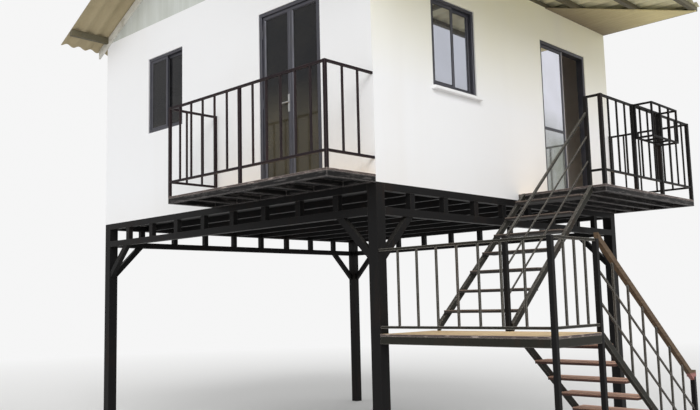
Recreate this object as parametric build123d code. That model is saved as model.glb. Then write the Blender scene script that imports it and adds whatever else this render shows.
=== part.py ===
"""Steel frame house: one gabled room on four tall posts, with a balcony and a dog-leg stair.

Lengths are in millimetres. While it is modelled, X runs along the gable front, to the right, with the
entrance side at +X. Y runs from the front to the back, and Z runs up from the ground. The middle of
the room's plan is at X = Y = 0. At the end every piece is moved by the same step, so that the middle
of the whole footprint, at ground level, becomes the origin.
"""

from build123d import *
from math import hypot
import os

# House box
HOUSE_WIDTH = 5000
HOUSE_DEPTH = 4900
FLOOR_LEVEL = 2850
WALL_HEIGHT = 2545
WALL_THICKNESS = 100
FLOOR_THICKNESS = 70

# Steel posts, ladder girders, knee braces and floor joists
POST_SIZE = 120
CHORD_WIDTH = 75
CHORD_HEIGHT = 75
GIRDER_DEPTH = 310
GIRDER_BAYS = 9
STRUT_WIDTH = 70
STRUT_THICKNESS = 60
BRACE_REACH = 430
BRACE_WIDTH = 70
BRACE_THICKNESS = 60
JOIST_COUNT = 8
JOIST_WIDTH = 50

# Doors and windows: places are measured from the front right corner of the room
HEAD_HEIGHT = 2090
SILL_HEIGHT = 1100
FRONT_WINDOW_START = 3180
FRONT_WINDOW_WIDTH = 770
SIDE_WINDOW_START = 940
SIDE_WINDOW_WIDTH = 790
BALCONY_DOOR_START = 720
BALCONY_DOOR_WIDTH = 980
ENTRANCE_START = 3145
ENTRANCE_WIDTH = 1135
WINDOW_SETBACK = 15
WINDOW_FRAME_DEPTH = 70
WINDOW_FRAME_WIDTH = 35
SASH_THICKNESS = 24
SASH_LAP = 40
SASH_GAP = 6
DOOR_SETBACK = 8
DOOR_FRAME_DEPTH = 90
DOOR_FRAME_WIDTH = 40
LEAF_THICKNESS = 30
LEAF_LAP = 30
LEAF_MARGIN = 4
RUNNING_GAP = 6
BALCONY_LEAF_THICKNESS = 40
BALCONY_LEAF_SETBACK = 25
BALCONY_LEAF_GAP = 4
ROLLER_GAP = 0.3
ROLLER_LENGTH = 60
ROLLER_INSET = 60
SILL_REACH = 60
SILL_THICKNESS = 40
SILL_OVERRUN = 30

# Roof
ROOF_SLOPE = 0.503
PLATE_WIDTH = 60
PLATE_HEIGHT = 55
PURLIN_WIDTH = 50
PURLIN_HEIGHT = 70
RIDGE_WIDTH = 60
RIDGE_HEIGHT = 90
SHEET_DEPTH = 45
EAVE_OVERHANG = 250
FRONT_VERGE = 570
BACK_VERGE = 50
GABLE_THICKNESS = 80
RIDGE_CAP_REACH = 160
RIDGE_CAP_THICKNESS = 14
RAKE_TRIM_DEPTH = 120
RAKE_TRIM_THICKNESS = 25
RAKE_TRIM_OVERRUN = 200

# Porch roof over the entrance side
PORCH_REACH = 1300
PORCH_BEAM_WIDTH = 50
PORCH_BEAM_BACK_BAY = 2600
PORCH_PURLIN_WIDTH = 60
PORCH_PURLIN_INNER = 250
PORCH_PURLIN_MIDDLE = 750
PORCH_SHEET_DEPTH = 40
PORCH_SHEET_LAP = 120
PORCH_SHEET_DRIP = 30
SOFFIT_BOARD_THICKNESS = 12
SOFFIT_BOARD_LENGTH = 1580

# Decks: a steel frame with a plywood top
DECK_BOARD = 20
DECK_FRAME_DEPTH = 60
DECK_BAR = 40
DECK_JOIST_BAR = 40
BALCONY_LENGTH = 2500
BALCONY_DEPTH = 650
BALCONY_JOIST_COUNT = 5
LANDING_START = 2480
LANDING_DEPTH = 1090
LANDING_JOIST_COUNT = 3
HALF_LANDING_LEVEL = 1420
HALF_LANDING_LENGTH = 1820
HALF_LANDING_DEPTH = 790
HALF_LANDING_FRAME_DEPTH = 72
HALF_LANDING_JOIST_COUNT = 4
LEG_SIZE = 44

# Railings
RAIL_SIZE = 24
RAIL_POST = 30
LANDING_POST = 40
BALUSTER = 18
RAIL_HEIGHT = 1000
BOTTOM_RAIL_HEIGHT = 150
BALCONY_FRONT_BAYS = 12
BALCONY_SIDE_BAYS = 3
LANDING_OUTER_BAYS = 12
LANDING_STAIR_BAYS = 1
LANDING_BACK_BAYS = 5
HALF_LANDING_RAIL_HEIGHT = 790
HALF_LANDING_BOTTOM_RAIL = 50
HALF_LANDING_FRONT_BAYS = 8
HALF_LANDING_SIDE_BAYS = 4
BASKET_START = 800
BASKET_LENGTH = 710
BASKET_REACH = 220
BASKET_HEIGHT = 410
BASKET_BAR = 22
BASKET_BAYS = 3

# Stair flights
STRINGER_THICKNESS = 40
STRINGER_DEPTH = 60
TREAD_THICKNESS = 30
TREAD_DEPTH = 225
TOP_STEP = 110
UPPER_TREAD_COUNT = 7
UPPER_FLIGHT_INNER = 50
UPPER_FLIGHT_WIDTH = 885
UPPER_STRINGER_FOOT_RISE = 70
UPPER_STRINGER_HEAD_RISE = 5
LOWER_TREAD_COUNT = 8
LOWER_FLIGHT_LENGTH = 1845
LOWER_FLIGHT_WIDTH = 850
FLIGHT_RAIL_HEIGHT = 810
FLIGHT_RAIL_SIZE = 24
FLIGHT_MID_RAIL_COUNT = 2
FLIGHT_MID_RAIL_SIZE = 15
NEWEL_SIZE = 45
LOWER_NEWEL_EXTRA = 90
LOWER_UPRIGHT_SIZE = 18
LOWER_UPRIGHT_COUNT = 6
LOWER_UPRIGHT_PITCH = 270
TIMBER_RAIL_LIFT = 35
TIMBER_RAIL_WIDTH = 45
TIMBER_RAIL_DEPTH = 55
RAIL_END_SIZE = 70
RAIL_END_HEIGHT = 65
RAIL_END_OVERRUN = 8

# Places that follow from the sizes above
RIGHT = HOUSE_WIDTH / 2
LEFT = -RIGHT
BACK = HOUSE_DEPTH / 2
FRONT = -BACK
WALL_TOP = FLOOR_LEVEL + WALL_HEIGHT
DECK_LEVEL = FLOOR_LEVEL + FLOOR_THICKNESS
SILL_LEVEL = FLOOR_LEVEL + SILL_HEIGHT
HEAD_LEVEL = FLOOR_LEVEL + HEAD_HEIGHT
ROOF_SEAT = WALL_TOP + PLATE_HEIGHT
ROOF_FRONT = FRONT - FRONT_VERGE
ROOF_BACK = BACK + BACK_VERGE
LANDING_EDGE = RIGHT + LANDING_DEPTH
LANDING_FRONT = FRONT + LANDING_START
HALF_EDGE = RIGHT + HALF_LANDING_LENGTH
HALF_BACK = FRONT + HALF_LANDING_DEPTH

parts = {}


def block(x0, x1, y0, y1, z0, z1):
    """A plain bar or slab between two corners."""
    size = (abs(x1 - x0), abs(y1 - y0), abs(z1 - z0))
    return Pos((x0 + x1) / 2, (y0 + y1) / 2, (z0 + z1) / 2) * Box(*size)


def prism_y(points, y0, y1):
    """An outline in the XZ plane, carried from y0 back to y1."""
    face = make_face(Polyline(*[(x, y0, z) for x, z in points], close=True))
    return extrude(face, amount=y1 - y0, dir=(0, 1, 0))


def prism_x(points, x0, x1):
    """An outline in the YZ plane, carried from x0 right to x1."""
    face = make_face(Polyline(*[(x0, y, z) for y, z in points], close=True))
    return extrude(face, amount=x1 - x0, dir=(1, 0, 0))


def prism_z(points, z0, z1):
    """An outline in plan, carried from z0 up to z1."""
    face = make_face(Polyline(*[(x, y, z0) for x, y in points], close=True))
    return extrude(face, amount=z1 - z0, dir=(0, 0, 1))


def spread(start, end, count):
    """Evenly spaced places strictly between start and end."""
    return [start + (end - start) * k / (count + 1) for k in range(1, count + 1)]


def group(solids):
    """Solids that stand apart, kept together as one node."""
    return Compound(list(solids))


def fused(solids):
    """Bars welded into one piece."""
    first, *rest = solids
    return first.fuse(*rest).clean()


# Posts and girders


def corner_posts():
    """Four square posts, flush with the corners of the room, from the ground to the floor."""
    return group(
        block(x, x + POST_SIZE, y, y + POST_SIZE, 0, FLOOR_LEVEL)
        for x in (LEFT, RIGHT - POST_SIZE)
        for y in (FRONT, BACK - POST_SIZE)
    )


def ladder_girder(length):
    """A girder along X, outer face at y = 0: two chords with upright struts between them."""
    half = length / 2 - POST_SIZE
    top = FLOOR_LEVEL
    bottom = FLOOR_LEVEL - GIRDER_DEPTH
    bars = [
        block(-half, half, 0, CHORD_WIDTH, top - CHORD_HEIGHT, top),
        block(-half, half, 0, CHORD_WIDTH, bottom, bottom + CHORD_HEIGHT),
    ]
    inset = (CHORD_WIDTH - STRUT_THICKNESS) / 2
    for middle in spread(-length / 2, length / 2, GIRDER_BAYS - 1):
        bars.append(
            block(
                middle - STRUT_WIDTH / 2,
                middle + STRUT_WIDTH / 2,
                inset,
                CHORD_WIDTH - inset,
                bottom + CHORD_HEIGHT,
                top - CHORD_HEIGHT,
            )
        )
    return fused(bars)


def knee_braces(length):
    """The two slanted braces under a girder along X, outer face at y = 0."""
    post_face = length / 2 - POST_SIZE
    under = FLOOR_LEVEL - GIRDER_DEPTH
    cut = BRACE_WIDTH * hypot(1, 1)
    inset = (CHORD_WIDTH - BRACE_THICKNESS) / 2
    outline = [
        (post_face, under - BRACE_REACH),
        (post_face, under - BRACE_REACH + cut),
        (post_face - BRACE_REACH + cut, under),
        (post_face - BRACE_REACH, under),
    ]
    right = prism_y(outline, inset, CHORD_WIDTH - inset)
    left = prism_y([(-x, z) for x, z in outline], inset, CHORD_WIDTH - inset)
    return [right, left]


def on_side(shape, side):
    """Moves a piece made along X with its outer face at y = 0 to one side of the room."""
    if side == "front":
        return Pos(0, FRONT, 0) * shape
    if side == "back":
        return Pos(0, BACK, 0) * Rot(0, 0, 180) * shape
    if side == "right":
        return Pos(RIGHT, 0, 0) * Rot(0, 0, 90) * shape
    return Pos(LEFT, 0, 0) * Rot(0, 0, -90) * shape


SIDE_LENGTH = {"front": HOUSE_WIDTH, "back": HOUSE_WIDTH, "right": HOUSE_DEPTH, "left": HOUSE_DEPTH}


def floor_joists():
    """Bars across the room between the side girders, level with their top chords."""
    reach = RIGHT - CHORD_WIDTH
    half = JOIST_WIDTH / 2
    return group(
        block(-reach, reach, y - half, y + half, FLOOR_LEVEL - CHORD_HEIGHT, FLOOR_LEVEL)
        for y in spread(FRONT + CHORD_WIDTH, BACK - CHORD_WIDTH, JOIST_COUNT)
    )


parts["corner_posts"] = corner_posts()
for side_name, side_length in SIDE_LENGTH.items():
    parts[f"{side_name}_girder"] = on_side(ladder_girder(side_length), side_name)
parts["knee_braces"] = group(
    on_side(brace, side_name)
    for side_name, side_length in SIDE_LENGTH.items()
    for brace in knee_braces(side_length)
)
parts["floor_joists"] = floor_joists()
parts["floor_panel"] = block(
    LEFT + WALL_THICKNESS,
    RIGHT - WALL_THICKNESS,
    FRONT + WALL_THICKNESS,
    BACK - WALL_THICKNESS,
    FLOOR_LEVEL,
    DECK_LEVEL,
)


# Openings in the walls: each is its two ends along the wall and its two heights


def front_hole(start, width, foot):
    """An opening in the front wall, its start measured from the right corner."""
    return (RIGHT - start - width, RIGHT - start, foot, HEAD_LEVEL)


def right_hole(start, width, foot):
    """An opening in the right wall, its start measured from the front corner."""
    return (FRONT + start, FRONT + start + width, foot, HEAD_LEVEL)


FRONT_WINDOW = front_hole(FRONT_WINDOW_START, FRONT_WINDOW_WIDTH, SILL_LEVEL)
BALCONY_DOOR = front_hole(BALCONY_DOOR_START, BALCONY_DOOR_WIDTH, FLOOR_LEVEL)
SIDE_WINDOW = right_hole(SIDE_WINDOW_START, SIDE_WINDOW_WIDTH, SILL_LEVEL)
ENTRANCE = right_hole(ENTRANCE_START, ENTRANCE_WIDTH, FLOOR_LEVEL)


def across_front(hole, depth0, depth1):
    """A block in the front wall, from depth0 to depth1 behind its outer face."""
    a, b, z0, z1 = hole
    return block(a, b, FRONT + depth0, FRONT + depth1, z0, z1)


def across_right(hole, depth0, depth1):
    """A block in the right wall, from depth0 to depth1 behind its outer face."""
    a, b, z0, z1 = hole
    return block(RIGHT - depth1, RIGHT - depth0, a, b, z0, z1)


def mirrored_back(shape):
    """The same piece on the back wall."""
    return mirror(shape, about=Plane.XZ)


def mirrored_left(shape):
    """The same piece on the left wall."""
    return mirror(shape, about=Plane.YZ)


def walls():
    """Four panel walls; the right one is split beside and over the doorway."""
    t = WALL_THICKNESS
    inner = RIGHT - t
    front = block(LEFT, RIGHT, FRONT, FRONT + t, FLOOR_LEVEL, WALL_TOP)
    front_window = across_front(FRONT_WINDOW, 0, t)
    side = block(inner, RIGHT, FRONT + t, BACK - t, FLOOR_LEVEL, WALL_TOP)
    side_window = across_right(SIDE_WINDOW, 0, t)
    door_start, door_end, _, door_head = ENTRANCE
    beside_window = block(inner, RIGHT, FRONT + t, door_start, FLOOR_LEVEL, WALL_TOP)
    return {
        "front_wall": front - front_window - across_front(BALCONY_DOOR, 0, t),
        "back_wall": mirrored_back(front - front_window),
        "left_wall": mirrored_left(side - side_window),
        "right_wall_front": beside_window - side_window,
        "right_wall_over_door": block(inner, RIGHT, door_start, door_end, door_head, WALL_TOP),
        "right_wall_back": block(inner, RIGHT, door_end, BACK - t, FLOOR_LEVEL, WALL_TOP),
    }


parts.update(walls())


# Windows and doors


def shrink(hole, sides, bottom, top):
    """An opening made smaller at its ends, its foot and its head."""
    a, b, z0, z1 = hole
    return (a + sides, b - sides, z0 + bottom, z1 - top)


def halves(hole, lap):
    """Two leaves that close an opening between them and lap in the middle."""
    a, b, z0, z1 = hole
    middle = (a + b) / 2
    return (a, middle + lap / 2, z0, z1), (middle - lap / 2, b, z0, z1)


def window_frame(hole, across):
    """A ring of aluminium that fills the edge of an opening."""
    near, far = WINDOW_SETBACK, WINDOW_SETBACK + WINDOW_FRAME_DEPTH
    w = WINDOW_FRAME_WIDTH
    return across(hole, near, far) - across(shrink(hole, w, w, w), near, far)


def window_sashes(hole, across):
    """Two sliding sashes, one behind the other."""
    w = WINDOW_FRAME_WIDTH
    first, second = halves(shrink(hole, w, w, w), SASH_LAP)
    outer = WINDOW_SETBACK + (WINDOW_FRAME_DEPTH - 2 * SASH_THICKNESS - SASH_GAP) / 2
    inner = outer + SASH_THICKNESS + SASH_GAP
    return [across(first, outer, outer + SASH_THICKNESS), across(second, inner, inner + SASH_THICKNESS)]


def door_frame(hole, across):
    """Jambs and head of aluminium over a threshold as high as the floor."""
    near, far = DOOR_SETBACK, DOOR_SETBACK + DOOR_FRAME_DEPTH
    w = DOOR_FRAME_WIDTH
    return across(hole, near, far) - across(shrink(hole, w, FLOOR_THICKNESS, w), near, far)


def balcony_door_leaves():
    """Two closed leaves that meet in the middle of the way to the balcony."""
    w = DOOR_FRAME_WIDTH
    leaves = halves(shrink(BALCONY_DOOR, w, FLOOR_THICKNESS, w), -BALCONY_LEAF_GAP)
    near, far = BALCONY_LEAF_SETBACK, BALCONY_LEAF_SETBACK + BALCONY_LEAF_THICKNESS
    return group(across_front(leaf, near, far) for leaf in leaves)


def entrance_leaves():
    """The fixed leaf in the outer track and the sliding leaf, open, in the inner one."""
    w = DOOR_FRAME_WIDTH
    inner = DOOR_SETBACK + DOOR_FRAME_DEPTH - LEAF_MARGIN - LEAF_THICKNESS
    outer = inner - RUNNING_GAP - LEAF_THICKNESS
    fixed, _ = halves(shrink(ENTRANCE, w, FLOOR_THICKNESS, w), LEAF_LAP)
    a, b, z0, z1 = fixed
    leaf = (a + RUNNING_GAP, b, z0 + RUNNING_GAP, z1 - RUNNING_GAP)
    sliding = [across_right(leaf, inner, inner + LEAF_THICKNESS)]
    for start in (a + ROLLER_INSET, b - ROLLER_INSET - ROLLER_LENGTH):
        roller = (start, start + ROLLER_LENGTH, z0 + ROLLER_GAP, z0 + RUNNING_GAP)
        sliding.append(across_right(roller, inner, inner + LEAF_THICKNESS))
    return across_right(fixed, outer, outer + LEAF_THICKNESS), fused(sliding)


def sill(across):
    """A ledge under the side window, proud of the wall."""
    a, b, z0, _ = SIDE_WINDOW
    return across((a - SILL_OVERRUN, b + SILL_OVERRUN, z0 - SILL_THICKNESS, z0), -SILL_REACH, 0)


front_frame = window_frame(FRONT_WINDOW, across_front)
side_frame = window_frame(SIDE_WINDOW, across_right)
front_sashes = window_sashes(FRONT_WINDOW, across_front)
side_sashes = window_sashes(SIDE_WINDOW, across_right)
side_sill = sill(across_right)

parts["window_frames"] = group(
    [front_frame, side_frame, mirrored_back(front_frame), mirrored_left(side_frame)]
)
parts["window_sashes"] = group(
    front_sashes
    + side_sashes
    + [mirrored_back(sash) for sash in front_sashes]
    + [mirrored_left(sash) for sash in side_sashes]
)
parts["window_sills"] = group([side_sill, mirrored_left(side_sill)])
parts["balcony_door_frame"] = door_frame(BALCONY_DOOR, across_front)
parts["balcony_door_leaves"] = balcony_door_leaves()
parts["entrance_frame"] = door_frame(ENTRANCE, across_right)
parts["entrance_fixed_leaf"], parts["entrance_sliding_leaf"] = entrance_leaves()


# Roof


def roof_height(x):
    """Height of the underside of the roof sheets."""
    return ROOF_SEAT + ROOF_SLOPE * (RIGHT - abs(x))


def along_roof(points):
    """A roof piece that runs the whole length, from the front verge to the back one."""
    return prism_y(points, ROOF_FRONT, ROOF_BACK)


def roof_purlins():
    """The two wall plates, a purlin half way up each slope, and the ridge purlin."""
    middle = RIGHT / 2
    half = PURLIN_WIDTH / 2
    mid_purlin = [
        (-middle - half, roof_height(middle + half)),
        (-middle + half, roof_height(middle - half)),
        (-middle + half, roof_height(middle - half) - PURLIN_HEIGHT),
        (-middle - half, roof_height(middle + half) - PURLIN_HEIGHT),
    ]
    ridge_half = RIDGE_WIDTH / 2
    ridge = [
        (-ridge_half, roof_height(ridge_half)),
        (0, roof_height(0)),
        (ridge_half, roof_height(ridge_half)),
        (ridge_half, roof_height(0) - RIDGE_HEIGHT),
        (-ridge_half, roof_height(0) - RIDGE_HEIGHT),
    ]
    left_plate = [
        (LEFT, WALL_TOP),
        (LEFT, ROOF_SEAT),
        (LEFT + PLATE_WIDTH, roof_height(LEFT + PLATE_WIDTH)),
        (LEFT + PLATE_WIDTH, WALL_TOP),
    ]
    return [
        along_roof(left_plate),
        block(RIGHT - PLATE_WIDTH, RIGHT, ROOF_FRONT, ROOF_BACK, WALL_TOP, ROOF_SEAT),
        along_roof(mid_purlin),
        along_roof([(-x, z) for x, z in mid_purlin]),
        along_roof(ridge),
    ]


def slope_sheet(low_end):
    """Roof sheets on one slope, from low_end up to the ridge line."""
    return along_roof(
        [
            (low_end, roof_height(low_end)),
            (0, roof_height(0)),
            (0, roof_height(0) + SHEET_DEPTH),
            (low_end, roof_height(low_end) + SHEET_DEPTH),
        ]
    )


def ridge_cap():
    """A bent strip over the ridge."""
    reach = RIDGE_CAP_REACH
    edge = roof_height(reach) + SHEET_DEPTH
    crown = roof_height(0) + SHEET_DEPTH
    under = [(-reach, edge), (0, crown), (reach, edge)]
    over = [(x, z + RIDGE_CAP_THICKNESS) for x, z in reversed(under)]
    return along_roof(under + over)


def porch_frame():
    """Beams out from the wall plate with purlins across them, all at one level."""
    out = RIGHT + PORCH_REACH
    half = PORCH_PURLIN_WIDTH / 2
    bars = [
        block(x - half, x + half, ROOF_FRONT, ROOF_BACK, WALL_TOP, ROOF_SEAT)
        for x in (RIGHT + PORCH_PURLIN_INNER, RIGHT + PORCH_PURLIN_MIDDLE, out - half)
    ]
    w = PORCH_BEAM_WIDTH
    for y in (ROOF_FRONT, ROOF_BACK - w - PORCH_BEAM_BACK_BAY, ROOF_BACK - w):
        bars.append(block(RIGHT, out, y, y + w, WALL_TOP, ROOF_SEAT))
    return fused(bars)


purlins = roof_purlins()
porch_sheet = block(
    RIGHT - PORCH_SHEET_LAP,
    RIGHT + PORCH_REACH + PORCH_SHEET_DRIP,
    ROOF_FRONT,
    ROOF_BACK,
    ROOF_SEAT,
    ROOF_SEAT + PORCH_SHEET_DEPTH,
)
right_low_end = RIGHT - PORCH_SHEET_DEPTH / ROOF_SLOPE


def gable(y0, y1):
    """A triangular panel on the wall, notched for the purlins that pass through it."""
    outline = [
        (LEFT, WALL_TOP),
        (RIGHT, WALL_TOP),
        (RIGHT, ROOF_SEAT),
        (0, roof_height(0)),
        (LEFT, ROOF_SEAT),
    ]
    return prism_y(outline, y0, y1) - porch_sheet - group(purlins)


def rake_trim():
    """Pale strips up both slopes of the front gable, close under the sheets."""
    low = LEFT - RAKE_TRIM_OVERRUN
    drop = RAKE_TRIM_DEPTH
    outline = [
        (low, roof_height(low)),
        (0, roof_height(0)),
        (RIGHT, ROOF_SEAT),
        (RIGHT, ROOF_SEAT - drop),
        (0, roof_height(0) - drop),
        (low, roof_height(low) - drop),
    ]
    return prism_y(outline, FRONT - RAKE_TRIM_THICKNESS, FRONT) - porch_sheet - group(purlins)


parts["roof_purlins"] = group(purlins)
parts["roof_left_sheets"] = slope_sheet(LEFT - EAVE_OVERHANG)
parts["roof_right_sheets"] = slope_sheet(right_low_end)
parts["ridge_cap"] = ridge_cap()
parts["front_gable"] = gable(FRONT, FRONT + GABLE_THICKNESS)
parts["back_gable"] = gable(BACK - GABLE_THICKNESS, BACK)
parts["rake_trim"] = rake_trim()
parts["porch_frame"] = porch_frame()
parts["porch_sheets"] = porch_sheet
parts["porch_soffit_board"] = prism_z(
    [(RIGHT, BACK - SOFFIT_BOARD_LENGTH), (RIGHT, BACK), (RIGHT + PORCH_REACH, BACK)],
    WALL_TOP - SOFFIT_BOARD_THICKNESS,
    WALL_TOP,
)


# Decks


def deck_frame(x0, x1, y0, y1, top, depth, joist_places):
    """A rectangle of steel bars with joists from its front to its back."""
    low = top - depth
    b = DECK_BAR
    half = DECK_JOIST_BAR / 2
    bars = [
        block(x0, x1, y0, y0 + b, low, top),
        block(x0, x1, y1 - b, y1, low, top),
        block(x0, x0 + b, y0, y1, low, top),
        block(x1 - b, x1, y0, y1, low, top),
    ]
    for place in joist_places:
        bars.append(block(place - half, place + half, y0, y1, low, top))
    return fused(bars)


DECK_FRAME_TOP = DECK_LEVEL - DECK_BOARD
BALCONY_LEFT = RIGHT - BALCONY_LENGTH
BALCONY_EDGE = FRONT - BALCONY_DEPTH

parts["balcony_frame"] = deck_frame(
    BALCONY_LEFT,
    RIGHT,
    BALCONY_EDGE,
    FRONT,
    DECK_FRAME_TOP,
    DECK_FRAME_DEPTH,
    spread(BALCONY_LEFT, RIGHT, BALCONY_JOIST_COUNT),
)
parts["balcony_deck"] = block(BALCONY_LEFT, RIGHT, BALCONY_EDGE, FRONT, DECK_FRAME_TOP, DECK_LEVEL)
parts["landing_frame"] = deck_frame(
    RIGHT,
    LANDING_EDGE,
    LANDING_FRONT,
    BACK,
    DECK_FRAME_TOP,
    DECK_FRAME_DEPTH,
    spread(RIGHT, LANDING_EDGE, LANDING_JOIST_COUNT),
)
parts["landing_deck"] = block(RIGHT, LANDING_EDGE, LANDING_FRONT, BACK, DECK_FRAME_TOP, DECK_LEVEL)

HALF_FRAME_TOP = HALF_LANDING_LEVEL - DECK_BOARD
HALF_RAIL_TOP = HALF_LANDING_LEVEL + HALF_LANDING_RAIL_HEIGHT

legs = group(
    block(HALF_EDGE - LEG_SIZE, HALF_EDGE, y, y + LEG_SIZE, 0, HALF_RAIL_TOP)
    for y in (FRONT, HALF_BACK - LEG_SIZE)
)
half_frame = deck_frame(
    RIGHT,
    HALF_EDGE,
    FRONT,
    HALF_BACK,
    HALF_FRAME_TOP,
    HALF_LANDING_FRAME_DEPTH,
    spread(RIGHT, HALF_EDGE, HALF_LANDING_JOIST_COUNT),
)
half_deck = block(RIGHT, HALF_EDGE, FRONT, HALF_BACK, HALF_FRAME_TOP, HALF_LANDING_LEVEL)
parts["half_landing_frame"] = half_frame - legs
parts["half_landing_deck"] = half_deck - legs
parts["half_landing_legs"] = legs


# Level railings


def railing(start, end, bays, posts, post_size, level, height, bottom):
    """A level railing between two plan points; posts are distances along it from its start."""
    (x0, y0), (x1, y1) = start, end
    length = abs(x1 - x0) + abs(y1 - y0)
    r = RAIL_SIZE / 2
    bars = [
        block(0, length, -r, r, height - RAIL_SIZE, height),
        block(0, length, -r, r, bottom, bottom + RAIL_SIZE),
    ]
    p = post_size / 2
    for place in posts:
        bars.append(block(place, place + post_size, -p, p, 0, height))
    b = BALUSTER / 2
    for middle in spread(0, length, bays - 1):
        bars.append(block(middle - b, middle + b, -b, b, bottom, height - r))
    turn = 90 if x0 == x1 else 0
    return Pos(x0, y0, level) * Rot(0, 0, turn) * fused(bars)


def deck_railing(start, end, bays, posts, post_size):
    """A railing of the balcony or of the entrance landing."""
    return railing(start, end, bays, posts, post_size, DECK_LEVEL, RAIL_HEIGHT, BOTTOM_RAIL_HEIGHT)


def half_landing_railing(start, end, bays):
    """A railing of the half landing, held by its legs and by the corner post of the house."""
    height, bottom = HALF_LANDING_RAIL_HEIGHT, HALF_LANDING_BOTTOM_RAIL
    return railing(start, end, bays, (), 0, HALF_LANDING_LEVEL, height, bottom)


BALCONY_INSET = RAIL_POST / 2
LANDING_INSET = LANDING_POST / 2
LANDING_RAIL_X = LANDING_EDGE - LANDING_INSET
STAIR_SIDE = RIGHT + UPPER_FLIGHT_INNER + UPPER_FLIGHT_WIDTH
STAIR_RAIL_X = STAIR_SIDE - STRINGER_THICKNESS

parts["balcony_front_railing"] = deck_railing(
    (BALCONY_LEFT, BALCONY_EDGE + BALCONY_INSET),
    (RIGHT, BALCONY_EDGE + BALCONY_INSET),
    BALCONY_FRONT_BAYS,
    (0, (BALCONY_LENGTH - RAIL_POST) / 2, BALCONY_LENGTH - RAIL_POST),
    RAIL_POST,
)


def balcony_side_railing(x, posts):
    """A railing from a corner post of the balcony back to the wall."""
    return deck_railing((x, BALCONY_EDGE + RAIL_POST), (x, FRONT), BALCONY_SIDE_BAYS, posts, RAIL_POST)


parts["balcony_side_railings"] = group(
    [
        balcony_side_railing(BALCONY_LEFT + BALCONY_INSET, (BALCONY_DEPTH - 2 * RAIL_POST,)),
        balcony_side_railing(RIGHT - BALCONY_INSET, ()),
    ]
)
basket_posts = (BASKET_START - LANDING_POST + BASKET_BAR, BASKET_START + BASKET_LENGTH - BASKET_BAR)
parts["landing_outer_railing"] = deck_railing(
    (LANDING_RAIL_X, LANDING_FRONT),
    (LANDING_RAIL_X, BACK),
    LANDING_OUTER_BAYS,
    (0, *basket_posts, BACK - LANDING_FRONT - LANDING_POST),
    LANDING_POST,
)
parts["landing_end_railings"] = group(
    [
        deck_railing(
            (STAIR_RAIL_X - LANDING_INSET, LANDING_FRONT + LANDING_INSET),
            (LANDING_EDGE - LANDING_POST, LANDING_FRONT + LANDING_INSET),
            LANDING_STAIR_BAYS,
            (0,),
            LANDING_POST,
        ),
        deck_railing(
            (RIGHT, BACK - LANDING_INSET),
            (LANDING_EDGE - LANDING_POST, BACK - LANDING_INSET),
            LANDING_BACK_BAYS,
            (0,),
            LANDING_POST,
        ),
    ]
)


def landing_basket():
    """An open box of bars that hangs outside the landing railing, near its top."""
    b = BASKET_BAR
    x0, x1 = LANDING_EDGE, LANDING_EDGE + BASKET_REACH
    y0 = LANDING_FRONT + BASKET_START
    y1 = y0 + BASKET_LENGTH
    top = DECK_LEVEL + RAIL_HEIGHT
    low = top - BASKET_HEIGHT
    bars = []
    for z in (low, top - b):
        bars += [
            block(x0, x1, y0, y0 + b, z, z + b),
            block(x0, x1, y1 - b, y1, z, z + b),
            block(x1 - b, x1, y0, y1, z, z + b),
            block(x0, x0 + b, y0, y1, z, z + b),
        ]
    outer_bars = [y0 + b / 2] + spread(y0, y1, BASKET_BAYS - 1) + [y1 - b / 2]
    for y in outer_bars:
        bars.append(block(x1 - b, x1, y - b / 2, y + b / 2, low, top))
        bars.append(block(x0, x1, y - b / 2, y + b / 2, low, low + b))
    for y in (y0, y1 - b):
        bars.append(block(x0, x0 + b, y, y + b, low, top))
    return fused(bars)


parts["landing_basket"] = landing_basket()
parts["half_landing_front_railing"] = half_landing_railing(
    (RIGHT, FRONT + LEG_SIZE / 2),
    (HALF_EDGE - LEG_SIZE, FRONT + LEG_SIZE / 2),
    HALF_LANDING_FRONT_BAYS,
)
parts["half_landing_side_railing"] = half_landing_railing(
    (HALF_EDGE - LEG_SIZE / 2, FRONT + LEG_SIZE),
    (HALF_EDGE - LEG_SIZE / 2, HALF_BACK - LEG_SIZE),
    HALF_LANDING_SIDE_BAYS,
)


# Stair flights


class Flight:
    """The slope line of one flight, from its start to its end in Y."""

    def __init__(self, y0, z0, y1, z1):
        self.y0, self.z0, self.y1, self.z1 = y0, z0, y1, z1
        self.slope = (z1 - z0) / (y1 - y0)
        self.stretch = hypot(1, self.slope)

    def height(self, y):
        """Height of the line above the ground."""
        return self.z0 + self.slope * (y - self.y0)

    def place(self, z):
        """Where along Y the line has this height."""
        return self.y0 + (z - self.z0) / self.slope

    def raised(self, rise, extra):
        """The same line higher up; at its end it is raised by extra more."""
        return Flight(self.y0, self.z0 + rise, self.y1, self.z1 + rise + extra)

    def bar(self, middle, width, depth):
        """A bar whose top edge is the line, centred on a place along X, cut upright at both ends."""
        drop = depth * self.stretch
        outline = [
            (self.y0, self.z0),
            (self.y1, self.z1),
            (self.y1, self.z1 - drop),
            (self.y0, self.z0 - drop),
        ]
        return prism_x(outline, middle - width / 2, middle + width / 2)


def mid_rails(flight, middle, extra):
    """Thin rails between a stringer and its handrail, which rises by extra more at its end."""
    size = FLIGHT_MID_RAIL_SIZE
    return [
        flight.raised(share * FLIGHT_RAIL_HEIGHT, share * extra).bar(middle, size, size)
        for share in spread(0, 1, FLIGHT_MID_RAIL_COUNT)
    ]


def stringers(flight, left, right):
    """Two bars along a flight, inside its left and right sides."""
    t = STRINGER_THICKNESS
    return [flight.bar(middle, t, STRINGER_DEPTH) for middle in (left + t / 2, right - t / 2)]


def newel(middle, y, foot, top):
    """A square post that starts at y and goes back."""
    half = NEWEL_SIZE / 2
    return block(middle - half, middle + half, y, y + NEWEL_SIZE, foot, top)


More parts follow.
